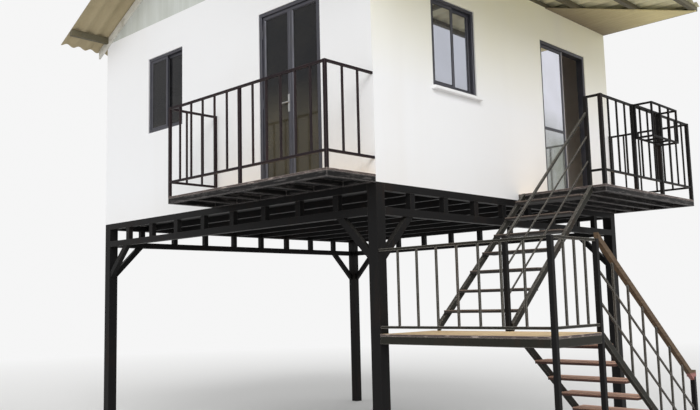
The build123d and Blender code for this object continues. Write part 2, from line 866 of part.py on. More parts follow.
def treads(flight, left, right, low, high, count):
    """Step boards from one level up to another; the last step up is a short one."""
    riser = (high - TOP_STEP - low) / count
    lift = (STRINGER_DEPTH * flight.stretch - TREAD_THICKNESS) / 2
    x0 = left + STRINGER_THICKNESS
    x1 = right - STRINGER_THICKNESS
    half = TREAD_DEPTH / 2
    boards = []
    for k in range(1, count + 1):
        top = low + riser * k
        middle = flight.place(top + lift)
        boards.append(block(x0, x1, middle - half, middle + half, top - TREAD_THICKNESS, top))
    return group(boards)


# The upper flight, from the half landing to the entrance landing

UPPER_INNER = RIGHT + UPPER_FLIGHT_INNER
upper = Flight(
    HALF_BACK,
    HALF_LANDING_LEVEL + UPPER_STRINGER_FOOT_RISE,
    LANDING_FRONT,
    DECK_LEVEL + UPPER_STRINGER_HEAD_RISE,
)
upper_handrail = upper.raised(FLIGHT_RAIL_HEIGHT, 0)

parts["upper_flight_stringers"] = group(stringers(upper, UPPER_INNER, STAIR_SIDE))
parts["upper_flight_treads"] = treads(
    upper, UPPER_INNER, STAIR_SIDE, HALF_LANDING_LEVEL, DECK_LEVEL, UPPER_TREAD_COUNT
)
parts["upper_flight_railing"] = group(
    [upper_handrail.bar(STAIR_RAIL_X, FLIGHT_RAIL_SIZE, FLIGHT_RAIL_SIZE), *mid_rails(upper, STAIR_RAIL_X, 0)]
)


# The lower flight, from the half landing to the ground, with a timber handrail

LOWER_END = HALF_BACK + LOWER_FLIGHT_LENGTH
LOWER_INNER = HALF_EDGE - LOWER_FLIGHT_WIDTH
LOWER_RAIL_X = HALF_EDGE - NEWEL_SIZE / 2
LOWER_NEWEL_TOP = FLIGHT_RAIL_HEIGHT + LOWER_NEWEL_EXTRA
lower = Flight(HALF_BACK, HALF_LANDING_LEVEL, LOWER_END, 0)
timber_top = lower.raised(FLIGHT_RAIL_HEIGHT + TIMBER_RAIL_LIFT, LOWER_NEWEL_EXTRA)
timber_underside = timber_top.raised(-TIMBER_RAIL_DEPTH * timber_top.stretch, 0)


def lower_uprights():
    """Thin bars from the outer stringer up to the underside of the timber handrail."""
    half = LOWER_UPRIGHT_SIZE / 2
    bars = []
    for k in range(1, LOWER_UPRIGHT_COUNT + 1):
        middle = HALF_BACK + LOWER_UPRIGHT_PITCH * k
        front, back = middle - half, middle + half
        outline = [
            (front, lower.height(front)),
            (back, lower.height(back)),
            (back, timber_underside.height(back)),
            (front, timber_underside.height(front)),
        ]
        bars.append(prism_x(outline, LOWER_RAIL_X - half, LOWER_RAIL_X + half))
    return bars


def timber_handrail():
    """The sloped handrail, with a block at its foot that sits on the newel."""
    back = LOWER_END + NEWEL_SIZE + RAIL_END_OVERRUN
    end_block = block(
        HALF_EDGE - RAIL_END_SIZE,
        HALF_EDGE,
        back - RAIL_END_SIZE,
        back,
        LOWER_NEWEL_TOP,
        LOWER_NEWEL_TOP + RAIL_END_HEIGHT,
    )
    return fused([timber_top.bar(LOWER_RAIL_X, TIMBER_RAIL_WIDTH, TIMBER_RAIL_DEPTH), end_block])


underground = block(LOWER_INNER, HALF_EDGE, HALF_BACK, LOWER_END, -HALF_LANDING_LEVEL, 0)
parts["lower_flight_stringers"] = group(
    stringer - underground for stringer in stringers(lower, LOWER_INNER, HALF_EDGE)
)
parts["lower_flight_treads"] = treads(
    lower, LOWER_INNER, HALF_EDGE, 0, HALF_LANDING_LEVEL, LOWER_TREAD_COUNT
)
lower_mid_rails = mid_rails(lower, LOWER_RAIL_X, LOWER_NEWEL_EXTRA)
parts["lower_flight_railing"] = fused(lower_mid_rails + lower_uprights())
parts["lower_flight_handrail"] = timber_handrail()
parts["stair_newels"] = group(
    [
        newel(STAIR_RAIL_X, HALF_BACK - NEWEL_SIZE, HALF_LANDING_LEVEL, upper_handrail.z0),
        newel(LOWER_RAIL_X, LOWER_END, 0, LOWER_NEWEL_TOP),
    ]
)


# The middle of the footprint becomes the origin

whole = group(parts.values()).bounding_box()
shift = Pos(-whole.center().X, -whole.center().Y, -whole.min.Z)

os.makedirs("parts", exist_ok=True)
for name, shape in parts.items():
    export_step(shift * shape, f"parts/{name}.step")
print("nodes", len(parts))
print("size", whole.size)
print("room middle", shift.position)
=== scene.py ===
# %% [markdown]
# # A small house on a steel frame
#
# The house is one gabled room of white panels, held up on four tall steel posts. It has a railed balcony on
# the gable front, a porch roof over the entrance side, and an outside stair that turns on a half landing.
# The measured solids come in first as a fixed frame. What a plain bar or slab already shows well is kept
# and only gets its finish. Roof sheets, windows and doors are built again here with their real sections.

# %% Load the measured solids
import math

import bmesh
import bpy
from mathutils import Matrix, Vector


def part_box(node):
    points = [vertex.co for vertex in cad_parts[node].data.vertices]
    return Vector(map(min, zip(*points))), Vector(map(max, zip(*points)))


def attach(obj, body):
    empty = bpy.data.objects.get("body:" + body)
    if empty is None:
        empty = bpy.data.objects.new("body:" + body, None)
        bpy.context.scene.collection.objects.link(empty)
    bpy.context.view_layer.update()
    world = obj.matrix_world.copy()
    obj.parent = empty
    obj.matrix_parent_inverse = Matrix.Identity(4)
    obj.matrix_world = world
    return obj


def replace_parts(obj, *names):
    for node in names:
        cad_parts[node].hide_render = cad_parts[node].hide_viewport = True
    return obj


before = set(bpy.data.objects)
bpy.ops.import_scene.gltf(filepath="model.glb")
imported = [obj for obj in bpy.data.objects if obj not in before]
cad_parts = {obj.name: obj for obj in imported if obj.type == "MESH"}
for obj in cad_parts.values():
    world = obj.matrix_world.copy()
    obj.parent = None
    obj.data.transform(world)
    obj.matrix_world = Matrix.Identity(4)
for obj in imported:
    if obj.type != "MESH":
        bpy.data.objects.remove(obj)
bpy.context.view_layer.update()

MILLIMETRE_DIGITS = 3


def short(values):
    """Metres rounded to the millimetre."""
    return [round(v, MILLIMETRE_DIGITS) for v in values]


# %% [markdown]
# ## Where the house's own parts are
#
# A node of the frame can hold several solids that stand apart, such as four posts or eight window sashes.
# Reading them back one by one gives every place that the new pieces need, so no size is written twice.

# %% Find the separate solids of a node
WELD_DIGITS = 5


def solids(node):
    """The lowest and highest corner of each separate solid in a node."""
    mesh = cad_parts[node].data
    spot = [tuple(round(c, WELD_DIGITS) for c in v.co) for v in mesh.vertices]
    leader = {place: place for place in spot}

    def find(place):
        while leader[place] != place:
            leader[place] = leader[leader[place]]
            place = leader[place]
        return place

    for edge in mesh.edges:
        a, b = (find(spot[i]) for i in edge.vertices)
        leader[a] = b
    groups = {}
    for place in leader:
        groups.setdefault(find(place), []).append(Vector(place))
    boxes = []
    for points in groups.values():
        low = Vector(min(p[k] for p in points) for k in range(3))
        high = Vector(max(p[k] for p in points) for k in range(3))
        boxes.append((low, high))
    return sorted(boxes, key=lambda box: short(box[0]))


room_low, wall_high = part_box("front_wall")
room_high = Vector((wall_high.x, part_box("back_wall")[1].y, wall_high.z))
room_middle = (room_low + room_high) / 2
WALL_THICKNESS = wall_high.y - room_low.y
print("room", short(room_low), short(room_high))

# %% [markdown]
# ## Finishes as formulas
#
# A finish is easier to read as sums and products than as a web of nodes. One small class wraps an output
# socket, and Python's own operators on it add the Math nodes. A second class holds one material and has a
# single method that makes every other kind of node.

# %% A socket that understands arithmetic
class Wire:
    """The output of a node; arithmetic on it adds Math nodes to the same material."""

    def __init__(self, finish, socket):
        self.finish = finish
        self.socket = socket

    def maths(self, operation, *values):
        return self.finish.node("ShaderNodeMath", {"operation": operation}, dict(enumerate(values)))

    def __add__(self, other):
        return self.maths("ADD", self, other)

    def __radd__(self, other):
        return self.maths("ADD", other, self)

    def __sub__(self, other):
        return self.maths("SUBTRACT", self, other)

    def __rsub__(self, other):
        return self.maths("SUBTRACT", other, self)

    def __mul__(self, other):
        return self.maths("MULTIPLY", self, other)

    def __truediv__(self, other):
        return self.maths("DIVIDE", self, other)

    def __abs__(self):
        return self.maths("ABSOLUTE", self)

    def __lt__(self, other):
        return self.maths("LESS_THAN", self, other)

    def __gt__(self, other):
        return self.maths("GREATER_THAN", self, other)


print("a Wire takes part in + - * / < > and abs")

# %% One material
COLOUR_A, COLOUR_B, COLOUR_RESULT = 6, 7, 2
BEVEL_SAMPLES = 6


class Finish:
    """A material with a Principled surface, and the one method that adds a node to it."""

    def __init__(self, name, **surface):
        self.material = bpy.data.materials.new(name)
        self.material.use_nodes = True
        self.tree = self.material.node_tree
        self.tree.nodes.clear()
        self.output = self.tree.nodes.new("ShaderNodeOutputMaterial")
        self.shader = self.node("ShaderNodeBsdfPrincipled", {}, {})
        self.tree.links.new(self.shader.socket, self.output.inputs["Surface"])
        self.surface(**surface)

    def node(self, kind, settings, inputs, output=0):
        made = self.tree.nodes.new(kind)
        for name, value in settings.items():
            if name == "stops":
                self.set_stops(made.color_ramp, value)
            else:
                setattr(made, name, value)
        self.plug(made, inputs)
        return Wire(self, made.outputs[output])

    def plug(self, made, inputs):
        for name, value in inputs.items():
            socket = made.inputs[name]
            if isinstance(value, Wire):
                self.tree.links.new(value.socket, socket)
            else:
                socket.default_value = value

    def set_stops(self, ramp, stops):
        """Stops are (position, colour) or (position, grey level)."""
        while len(ramp.elements) < len(stops):
            ramp.elements.new(1)
        for element, (position, colour) in zip(ramp.elements, stops):
            element.position = position
            element.color = (*colour, 1) if isinstance(colour, tuple) else (colour, colour, colour, 1)

    def surface(self, **inputs):
        """Feeds the Principled sockets, with underscores for the spaces in their names."""
        spaced = {name.replace("_", " "): value for name, value in inputs.items()}
        self.plug(self.shader.socket.node, spaced)
        return self.material

    # The few nodes that nearly every finish uses

    def place(self):
        return self.node("ShaderNodeTexCoord", {}, {}, "Object")

    def stretched(self, scale):
        return self.node("ShaderNodeVectorMath", {"operation": "MULTIPLY"}, {0: self.place(), 1: scale})

    def noise(self, where, scale, detail=4.0, roughness=0.55):
        sockets = {"Vector": where, "Scale": scale, "Detail": detail, "Roughness": roughness}
        return self.node("ShaderNodeTexNoise", {}, sockets, "Fac")

    def ramp(self, value, *stops):
        return self.node("ShaderNodeValToRGB", {"stops": stops}, {"Fac": value}, "Color")

    def mix(self, mask, below, above):
        below, above = ((*c, 1) if isinstance(c, tuple) else c for c in (below, above))
        sockets = {0: mask, COLOUR_A: below, COLOUR_B: above}
        return self.node("ShaderNodeMix", {"data_type": "RGBA"}, sockets, COLOUR_RESULT)

    def axes(self, where):
        return [self.node("ShaderNodeSeparateXYZ", {}, {0: where}, axis) for axis in "XYZ"]

    def fade(self, value, start, end):
        """0 up to start, 1 from end on, and an even slope between them."""
        sockets = {"Value": value, "From Min": start, "From Max": end}
        return self.node("ShaderNodeMapRange", {}, sockets, "Result")

    def bump(self, height, strength, distance):
        sockets = {"Height": height, "Strength": strength, "Distance": distance}
        return self.node("ShaderNodeBump", {}, sockets, "Normal")

    def facing(self):
        """The direction that the surface faces."""
        return self.node("ShaderNodeNewGeometry", {}, {}, "Normal")

    def rounded(self, radius):
        """The direction that the surface would face if its edges were rounded off."""
        return self.node("ShaderNodeBevel", {"samples": BEVEL_SAMPLES}, {"Radius": radius}, "Normal")

    def facing_up(self):
        """The upward part of the surface direction: 1 on top, 0 on the sides, -1 underneath."""
        return self.axes(self.facing())[2]

    def edges(self, radius):
        """About 0.3 on a square edge, outer or inner, and 0 on the flats."""
        sockets = {0: self.rounded(radius), 1: self.facing()}
        return 1 - self.node("ShaderNodeVectorMath", {"operation": "DOT_PRODUCT"}, sockets, "Value")


print("a Finish has", [name for name in vars(Finish) if not name.startswith("_")])

# %% [markdown]
# ## Black paint on steel
#
# Everything that carries the house is square tube and angle, welded and brushed black. Seen close, the
# black goes brown where water sits, greys on top where dust settles, and is pale along its edges, where it
# is rubbed and where a painted highlight stands for the light that catches them. The Bevel node finds those
# edges by comparing a rounded normal with the flat one, so the wear follows the shape of each bar and
# nothing has to be painted by hand. The bars have not all aged alike: the stair and its rails are rubbed
# pale by hands and feet and are also painted lighter, as a lit copy of the black; the balcony railing leans
# to purple; the deck frames are scuffed along their rims, in a wide pale band that is partly a painted
# highlight; and the purlins have weathered to an earthy brown. So the recipe takes its colours and the
# reach of its wear as arguments.

# %% Colours as the eye reads them
def seen(red, green, blue):
    """A colour given in the 0 to 255 of a screen, as the linear colour that light is mixed in."""
    levels = (level / 255 for level in (red, green, blue))
    return tuple(v / 12.92 if v <= 0.04045 else ((v + 0.055) / 1.055) ** 2.4 for v in levels)


print("a screen's middle grey, 128, is", round(seen(128, 128, 128)[0], 3), "of the light of white")

# %% Brushed steel
EDGE_GAIN = 3.2
DULL_SHINE = 0.12


def brushed_steel(name, dark, lighter, rusty, rubbed, wear=0.005, scrapes=0.0):
    """Painted steel, rubbed over wear metres from its edges, its flats scraped from 0 to 1."""
    paint = Finish(name, Specular_IOR_Level=DULL_SHINE)
    where = paint.place()
    cloud = paint.noise(where, 1.4, 3)
    grain = paint.noise(where, 55, 6, 0.7)
    streak = paint.noise(paint.stretched((16, 16, 1.1)), 1, 5, 0.6)
    # Pale edges: rubbed paint, and partly a painted highlight where light would catch the rounded edge.
    worn_and_highlit = paint.ramp(paint.edges(wear) * EDGE_GAIN * (grain + cloud * 0.6), (0.30, 0), (0.62, 1))
    brown = paint.ramp(cloud * 0.55 + streak * 0.45, (0.52, 0), (0.66, 1))
    dust = paint.fade(paint.facing_up(), 0.3, 0.9) * paint.ramp(grain, (0.35, 0), (0.6, 1))
    scraped = paint.ramp(paint.noise(paint.stretched((5, 5, 38)), 1, 5, 0.65), (0.52, 0), (0.64, 1))
    coat = paint.mix(grain, seen(*dark), seen(*lighter))
    coat = paint.mix(brown * grain, coat, seen(*rusty))
    coat = paint.mix(dust * 0.5 + scraped * scrapes, coat, seen(*rubbed))
    return paint.surface(
        Base_Color=paint.mix(worn_and_highlit * 0.8, coat, seen(*rubbed)),
        Roughness=0.42 + grain * 0.22 + brown * 0.15,
        Normal=paint.bump(grain + streak * 0.5, 0.25, 0.002),
    )


steel = brushed_steel("brushed_black_steel", (11, 11, 12), (27, 26, 26), (44, 35, 31), (96, 93, 88))
# The stair steel is paler than the rest: rubbed by hands and feet, and also a painted lit copy of the black
# with painted edge highlights.
stair_steel_worn_and_lit = brushed_steel(
    "worn_and_lit_stair_steel", (24, 24, 20), (50, 49, 43), (58, 44, 36), (158, 153, 146), wear=0.016,
)
purple_black = brushed_steel(
    "balcony_rail_steel", (22, 15, 18), (40, 30, 34), (62, 42, 40), (120, 110, 108),
)
# The deck frames' wide pale rims and scrapes are partly wear and partly a painted highlight.
deck_steel_scuffed_and_highlit = brushed_steel(
    "scuffed_and_highlit_deck_steel", (13, 13, 13), (36, 35, 35), (54, 48, 45), (142, 136, 134),
    wear=0.030, scrapes=0.25,
)
roof_bars = brushed_steel(
    "weathered_roof_bars", (76, 73, 60), (116, 110, 90), (104, 91, 66), (160, 152, 130),
)
print("finishes:", [m.name for m in (steel, stair_steel_worn_and_lit, purple_black, deck_steel_scuffed_and_highlit, roof_bars)])

# %% [markdown]
# ## White panels outside, warm lining inside
#
# The walls are smooth boards, filled and rolled white. They are nearly clean: rain leaves only faint
# streaks, and the foot of the wall is a little greyer. Under the porch roof the white is painted cream, a
# painted warm light that the porch soffit throws back onto the shaded wall. The same solid also has the
# room's lining, a plain board of a warmer white, so the finish asks how far a point lies inside the room
# and changes over there. The gable's triangle is painted a duller grey, a painted shade cast by the verge
# overhang, with streaks of dirt, and the trim along the verge is blotched with dirt, so each has a recipe
# of its own.

# %% Wall boards
LINING_INSET = 0.6 * WALL_THICKNESS
FACE_SLACK = 0.01
PORCH_BOUNCE_DEPTH = 1.5
FOOT_GRIME = 0.4


def inside_room(paint, where):
    """1 on surfaces that face the room, 0 on the outside of the walls."""
    x, y, _ = paint.axes(where)
    reach = (room_high - room_low) / 2
    near_x = abs(x - room_middle.x) < reach.x - LINING_INSET
    near_y = abs(y - room_middle.y) < reach.y - LINING_INSET
    return near_x * near_y


def white_boards():
    paint = Finish("white_wall_boards")
    where = paint.place()
    cloud = paint.noise(where, 0.8, 3)
    roller = paint.noise(where, 190, 3, 0.6)
    streak = paint.noise(paint.stretched((2.5, 2.5, 0.3)), 1, 4, 0.5)
    across, _, height = paint.axes(where)
    foot = paint.fade(height, room_low.z + FOOT_GRIME, room_low.z)
    on_porch_side = across > room_high.x - FACE_SLACK
    # Painted light: under the porch roof the white turns cream, as warm light thrown back by the porch
    # soffit onto the shaded wall.
    porch_bounce_light = paint.fade(height, room_high.z - PORCH_BOUNCE_DEPTH, room_high.z) * on_porch_side
    grime = paint.ramp(streak, (0.55, 0), (0.85, 1)) * 0.2 + foot * cloud * 0.35
    white = paint.mix(cloud, seen(246, 247, 249), seen(242, 242, 243))
    white = paint.mix(porch_bounce_light * (0.40 + cloud * 0.5), white, seen(246, 238, 184))
    outside = paint.mix(grime, white, seen(228, 223, 216))
    lining = paint.mix(cloud, seen(238, 231, 226), seen(226, 217, 210))
    return paint.surface(
        Base_Color=paint.mix(inside_room(paint, where), outside, lining),
        Roughness=0.52 + grime * 0.25,
        Normal=paint.bump(roller + cloud * 2, 0.12, 0.001),
    )


boards = white_boards()
print("finish:", boards.name)

# %% Gable boards and verge trim
def gable_boards_in_painted_shade():
    paint = Finish("gable_boards_in_painted_shade")
    where = paint.place()
    cloud = paint.noise(where, 1.1, 4)
    streak = paint.noise(paint.stretched((7, 7, 0.5)), 1, 5, 0.6)
    grime = paint.ramp(streak * 0.6 + cloud * 0.4, (0.42, 0), (0.7, 1))
    # The grey base is a painted shade, as cast by the verge overhang on white boards; the darker streaks
    # are dirt.
    return paint.surface(
        Base_Color=paint.mix(grime, seen(208, 212, 208), seen(184, 188, 180)),
        Roughness=0.6 + grime * 0.2,
        Normal=paint.bump(cloud, 0.1, 0.002),
    )


def pale_trim():
    paint = Finish("pale_verge_trim")
    where = paint.place()
    grain = paint.noise(where, 30, 5, 0.65)
    dirt = paint.ramp(paint.noise(where, 5, 6, 0.7), (0.48, 0), (0.7, 1))
    return paint.surface(
        Base_Color=paint.mix(dirt, seen(218, 216, 208), seen(160, 152, 136)),
        Roughness=0.55 + dirt * 0.2,
        Normal=paint.bump(grain, 0.15, 0.002),
    )


gable_in_painted_shade, trim = gable_boards_in_painted_shade(), pale_trim()
print("finishes:", gable_in_painted_shade.name, trim.name)

# %% [markdown]
# ## Boards underfoot
#
# The decks are plywood, a fresh pale tan on top. Their edges were painted over with the black of the
# steel, and the layers show only where that paint has chipped along the rim. Their undersides are near
# black: black paint, and a painted shade as well, since no light reaches them from below. The treads are
# solid boards: reddish and bleached pink on the lower flight, greyer and dirtier on the upper one. All
# these boards stretch one noise along the wood for grain and ask the surface which way it faces to choose
# between top, edge and underside. A tread is pale over its top and nose, where feet and rain bleach it and
# where a painted light from above falls, and its lower sides and underside take a painted shade. So the
# treads ask a rounded direction, which already tips upward a little below the edge.

# %% Plywood
PLY_LAYER = 0.0045
CHIPPED_RIM = 0.008


def plywood():
    paint = Finish("deck_plywood")
    where = paint.place()
    up = paint.facing_up()
    fibre = paint.noise(paint.stretched((3, 40, 3)), 1, 7, 0.65)
    stain = paint.ramp(paint.noise(where, 1.7, 5), (0.48, 0), (0.75, 1))
    face = paint.mix(fibre, seen(255, 232, 190), seen(250, 210, 158))
    face = paint.mix(stain * 0.4, face, seen(220, 186, 140))
    height = paint.axes(where)[2]
    layers = height.maths("PINGPONG", height, PLY_LAYER) / PLY_LAYER
    bare = paint.mix(layers, seen(216, 202, 192), seen(152, 136, 128))
    chipped = paint.ramp(paint.noise(paint.stretched((9, 9, 60)), 1, 6, 0.7), (0.54, 0), (0.64, 1))
    rim = paint.ramp(paint.edges(CHIPPED_RIM) * EDGE_GAIN * (fibre + 0.3), (0.25, 0), (0.6, 1))
    edge = paint.mix(chipped * 0.75 + rim, seen(78, 68, 66), bare)
    sides = paint.mix(up > 0.5, edge, face)
    # The underside is near black: black paint, and a painted shade as well, as nothing lights it from
    # below.
    return paint.surface(
        Base_Color=paint.mix(up < -0.5, sides, seen(24, 23, 24)),
        Roughness=0.68 + fibre * 0.2,
        Normal=paint.bump(fibre + chipped * 0.6, 0.3, 0.0015),
    )


deck_ply = plywood()
print("finish:", deck_ply.name, "with layers of", PLY_LAYER * 1000, "mm")

# %% Solid boards
WORN_EDGE = 0.006
WORN_NOSE = 0.022
ALONG_X, ALONG_Y = (3, 60, 60), (40, 3, 40)
SHADED = 0.7


def plank(name, grain_scale, pale, dark, rubbed, below):
    """A board with grain and pale rubbed edges; below is the colour of its lower sides and underside, a
    painted shade.
    """
    paint = Finish(name)
    fibre = paint.noise(paint.stretched(grain_scale), 1, 8, 0.65)
    patch = paint.noise(paint.place(), 3.5, 4)
    rub = paint.ramp(paint.edges(WORN_EDGE) * EDGE_GAIN * (patch + 0.3), (0.25, 0), (0.7, 1))
    face = paint.mix(paint.ramp(fibre, (0.35, 0), (0.65, 1)), seen(*pale), seen(*dark))
    face = paint.mix(rub, face, seen(*rubbed))
    # Painted shade on the lower sides and underside; the top and nose take the pale face, partly bleached
    # by feet and rain and partly painted light from above.
    painted_shade = paint.mix(fibre, seen(*below), seen(*(SHADED * c for c in below)))
    bleached = paint.fade(paint.axes(paint.rounded(WORN_NOSE))[2], 0.12, 0.45)
    return paint.surface(
        Base_Color=paint.mix(bleached, painted_shade, face),
        Roughness=0.6 + fibre * 0.25,
        Normal=paint.bump(fibre, 0.35, 0.002),
    )


# The last colour of each plank is the painted shade of its lower sides and underside.
tread = plank(
    "lower_tread_planks", ALONG_X, (242, 198, 174), (214, 162, 138), (246, 212, 192), (80, 50, 40),
)
grimy_tread = plank(
    "upper_tread_planks", ALONG_X, (150, 132, 120), (112, 96, 86), (176, 162, 152), (42, 37, 34),
)
floor_board = plank(
    "room_floor_board", ALONG_Y, (196, 182, 166), (170, 154, 138), (186, 172, 156), (20, 20, 21),
)
print("finishes:", tread.name, grimy_tread.name, floor_board.name)

# %% [markdown]
# ## Timber handrail and soffit board
#
# The lower flight has a rough timber handrail, brown along its length. Its lowest end is painted pinker,
# a painted sunlight that catches the end while the rest of the rail lies in shade. The board under the back
# corner of the porch is bare too: a painted shade makes it dark beside the wall, deep under the porch roof,
# and it grows pale towards its open outer corner. Both are a grain between two colours, and a slow change
# along one axis shifts the pair.

# %% Two bare woods
X_AXIS, Z_AXIS = 0, 2


def bare_wood(name, grain_scale, pale, dark, axis, start, end, far_pale, far_dark):
    """Grain between pale and dark, which turn into a second pair from start to end along an axis."""
    paint = Finish(name)
    fibre = paint.ramp(paint.noise(paint.stretched(grain_scale), 1, 8, 0.65), (0.3, 0), (0.7, 1))
    blotch = paint.noise(paint.place(), 2.4, 4)
    travelled = paint.fade(paint.axes(paint.place())[axis] + blotch * 0.1 * (end - start), start, end)
    near = paint.mix(fibre, seen(*pale), seen(*dark))
    far = paint.mix(fibre, seen(*far_pale), seen(*far_dark))
    return paint.surface(
        Base_Color=paint.mix(travelled, near, far),
        Roughness=0.65 + fibre * 0.2,
        Normal=paint.bump(fibre + blotch, 0.35, 0.002),
    )


# The lowest end of the rail is painted pink: painted sunlight on the end while the rest lies in shade.
SUNLIT_END_HEIGHT = 0.065
BLEND = 0.012
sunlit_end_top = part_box("lower_flight_handrail")[0].z + SUNLIT_END_HEIGHT
handrail_wood = bare_wood(
    "timber_rail_with_sunlit_end", (60, 3, 60), (102, 82, 58), (68, 51, 36),
    Z_AXIS, sunlit_end_top + BLEND, sunlit_end_top, (168, 118, 112), (132, 86, 82),
)
# Painted shade: the board is dark beside the wall, deep under the porch roof, and pale towards its open
# outer corner.
PALE_FROM_SHARE = 0.7
board_low, board_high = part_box("porch_soffit_board")
fully_pale_from = board_low.x + (board_high.x - board_low.x) * PALE_FROM_SHARE
soffit = bare_wood(
    "porch_soffit_board", (4, 50, 4), (126, 114, 96), (104, 92, 78),
    X_AXIS, board_low.x, fully_pale_from, (236, 222, 168), (212, 198, 146),
)
print("finishes:", handrail_wood.name, soffit.name)

# %% [markdown]
# ## Giving the kept solids their finish
#
# Posts, girders, railings, walls, decks and treads already have their true shape. A small Bevel modifier
# rounds bars, rails and treads so that light catches their edges. A Weld and a planar Decimate go before
# it, because an imported mesh is split into triangles, and a bevel should only see the real corners. Most
# solids take the finish of their material, and a few that wear in their own way are named.

# %% Which finish goes where
finish_of_slot = {
    "black_steel": steel,
    "white_panel": boards,
    "gable_panel": gable_in_painted_shade,
    "pale_trim": trim,
    "plywood": deck_ply,
    "tread_board": tread,
    "floor_board": floor_board,
    "soffit_board": soffit,
    "roof_steel": roof_bars,
    "timber_rail": handrail_wood,
}
finish_of_node = {
    "balcony_frame": deck_steel_scuffed_and_highlit,
    "landing_frame": deck_steel_scuffed_and_highlit,
    "balcony_front_railing": purple_black,
    "balcony_side_railings": purple_black,
    "half_landing_front_railing": stair_steel_worn_and_lit,
    "half_landing_side_railing": stair_steel_worn_and_lit,
    "half_landing_frame": stair_steel_worn_and_lit,
    "upper_flight_railing": stair_steel_worn_and_lit,
    "upper_flight_stringers": stair_steel_worn_and_lit,
    "lower_flight_railing": stair_steel_worn_and_lit,
    "lower_flight_stringers": stair_steel_worn_and_lit,
    "upper_flight_treads": grimy_tread,
}
print("finishes by material:", len(finish_of_slot), "by piece:", len(finish_of_node))

# %% Dress the solids
STEEL_EDGE = 0.003
BOARD_EDGE = 0.002
WELD_REACH = 1e-5
FLAT_BELOW = math.radians(1)
CORNER_ABOVE = math.radians(40)
EDGE_SEGMENTS = 2
rounded_edge = {
    "black_steel": STEEL_EDGE,
    "roof_steel": STEEL_EDGE,
    "timber_rail": STEEL_EDGE,
    "tread_board": BOARD_EDGE,
    "pale_trim": BOARD_EDGE,
}


def bevel_corners(piece, radius):
    bevel = piece.modifiers.new("bevel", "BEVEL")
    bevel.width = radius
    bevel.segments = EDGE_SEGMENTS
    bevel.limit_method = "ANGLE"
    return bevel


def round_edges(piece, radius):
    """Clean triangles away, then round every true corner."""
    weld = piece.modifiers.new("weld", "WELD")
    weld.merge_threshold = WELD_REACH
    flat = piece.modifiers.new("flat", "DECIMATE")
    flat.decimate_type = "DISSOLVE"
    flat.angle_limit = FLAT_BELOW
    bevel_corners(piece, radius).angle_limit = CORNER_ABOVE


dressed = 0
for name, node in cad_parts.items():
    for place in node.material_slots:
        slot_name = place.material.name.split(".")[0]
        if slot_name in finish_of_slot:
            place.material = finish_of_node.get(name, finish_of_slot[slot_name])
            dressed += 1
            if slot_name in rounded_edge:
                round_edges(node, rounded_edge[slot_name])
print("dressed solids:", dressed)

# %% [markdown]
# ## A small kit for new pieces
#
# Roof sheets, windows and doors are made from a few shapes: a skin lofted through rows of points, a bar, a
# mitred ring with a drawn section, and a round pin. A Form collects their faces in the opening's own
# directions, u along the wall, v up and w out of the wall. One matrix then turns them into place, so the
# same lines make a window on any side of the house.

# %% Form: faces collected into one piece
HOUSE = "house"
SAME_POINT = 1e-6


class Form:
    def __init__(self, place=None):
        self.place = place or Matrix.Identity(4)
        self.points, self.faces, self.finish_index = [], [], []

    def add(self, points, faces, finish=0):
        start = len(self.points)
        self.points += [self.place @ Vector(p) for p in points]
        self.faces += [[start + i for i in face] for face in faces]
        self.finish_index += [finish] * len(faces)

    def loft(self, rows, finish=0, closed=True, capped=False):
        """Joins rows of points into a skin; a closed row comes back to its first point."""
        count = len(rows[0])
        faces = []
        for r in range(len(rows) - 1):
            this, following = r * count, (r + 1) * count
            for i in range(count if closed else count - 1):
                j = (i + 1) % count
                faces.append((this + i, this + j, following + j, following + i))
        if capped:
            faces += [tuple(range(count)), tuple(range((len(rows) - 1) * count, len(rows) * count))]
        self.add([p for row in rows for p in row], faces, finish)

    def bar(self, low, high, finish=0):
        base = [(low[0], low[1]), (high[0], low[1]), (high[0], high[1]), (low[0], high[1])]
        self.loft([[(*p, low[2]) for p in base], [(*p, high[2]) for p in base]], finish, capped=True)

    def ring(self, low, high, section, finish=0):
        """A mitred ring; section lists (distance in from the edge, depth w) right round."""
        rows = []
        for inset, w in section:
            a, b, c, d = low[0] + inset, low[1] + inset, high[0] - inset, high[1] - inset
            rows.append([(a, b, w), (c, b, w), (c, d, w), (a, d, w)])
        self.loft(rows + rows[:1], finish)

    def pin(self, start, end, radius, finish=0, sides=12):
        start, end = Vector(start), Vector(end)
        turn = (end - start).to_track_quat("Z", "Y")
        circle = [
            turn @ Vector((math.cos(a), math.sin(a), 0)) * radius
            for a in (math.tau * i / sides for i in range(sides))
        ]
        self.loft([[start + p for p in circle], [end + p for p in circle]], finish, capped=True)

    def piece(self, name, finishes, body=HOUSE, smooth_below=None, rounding=None):
        mesh = bpy.data.meshes.new(name)
        mesh.from_pydata(self.points, [], self.faces)
        for finish in finishes:
            mesh.materials.append(finish)
        mesh.polygons.foreach_set("material_index", self.finish_index)
        work = bmesh.new()
        work.from_mesh(mesh)
        bmesh.ops.remove_doubles(work, verts=work.verts, dist=SAME_POINT)
        bmesh.ops.recalc_face_normals(work, faces=work.faces)
        work.to_mesh(mesh)
        work.free()
        if smooth_below:
            mesh.shade_smooth()
            mesh.set_sharp_from_angle(angle=math.radians(smooth_below))
        made = bpy.data.objects.new(name, mesh)
        bpy.context.collection.objects.link(made)
        if rounding:
            bevel_corners(made, rounding)
        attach(made, body)
        print("made", name, "faces:", len(self.faces))
        return made


print("a Form has", [name for name in vars(Form) if not name.startswith("_")])

# %% Where an opening sits in its wall
UP = Vector((0, 0, 1))


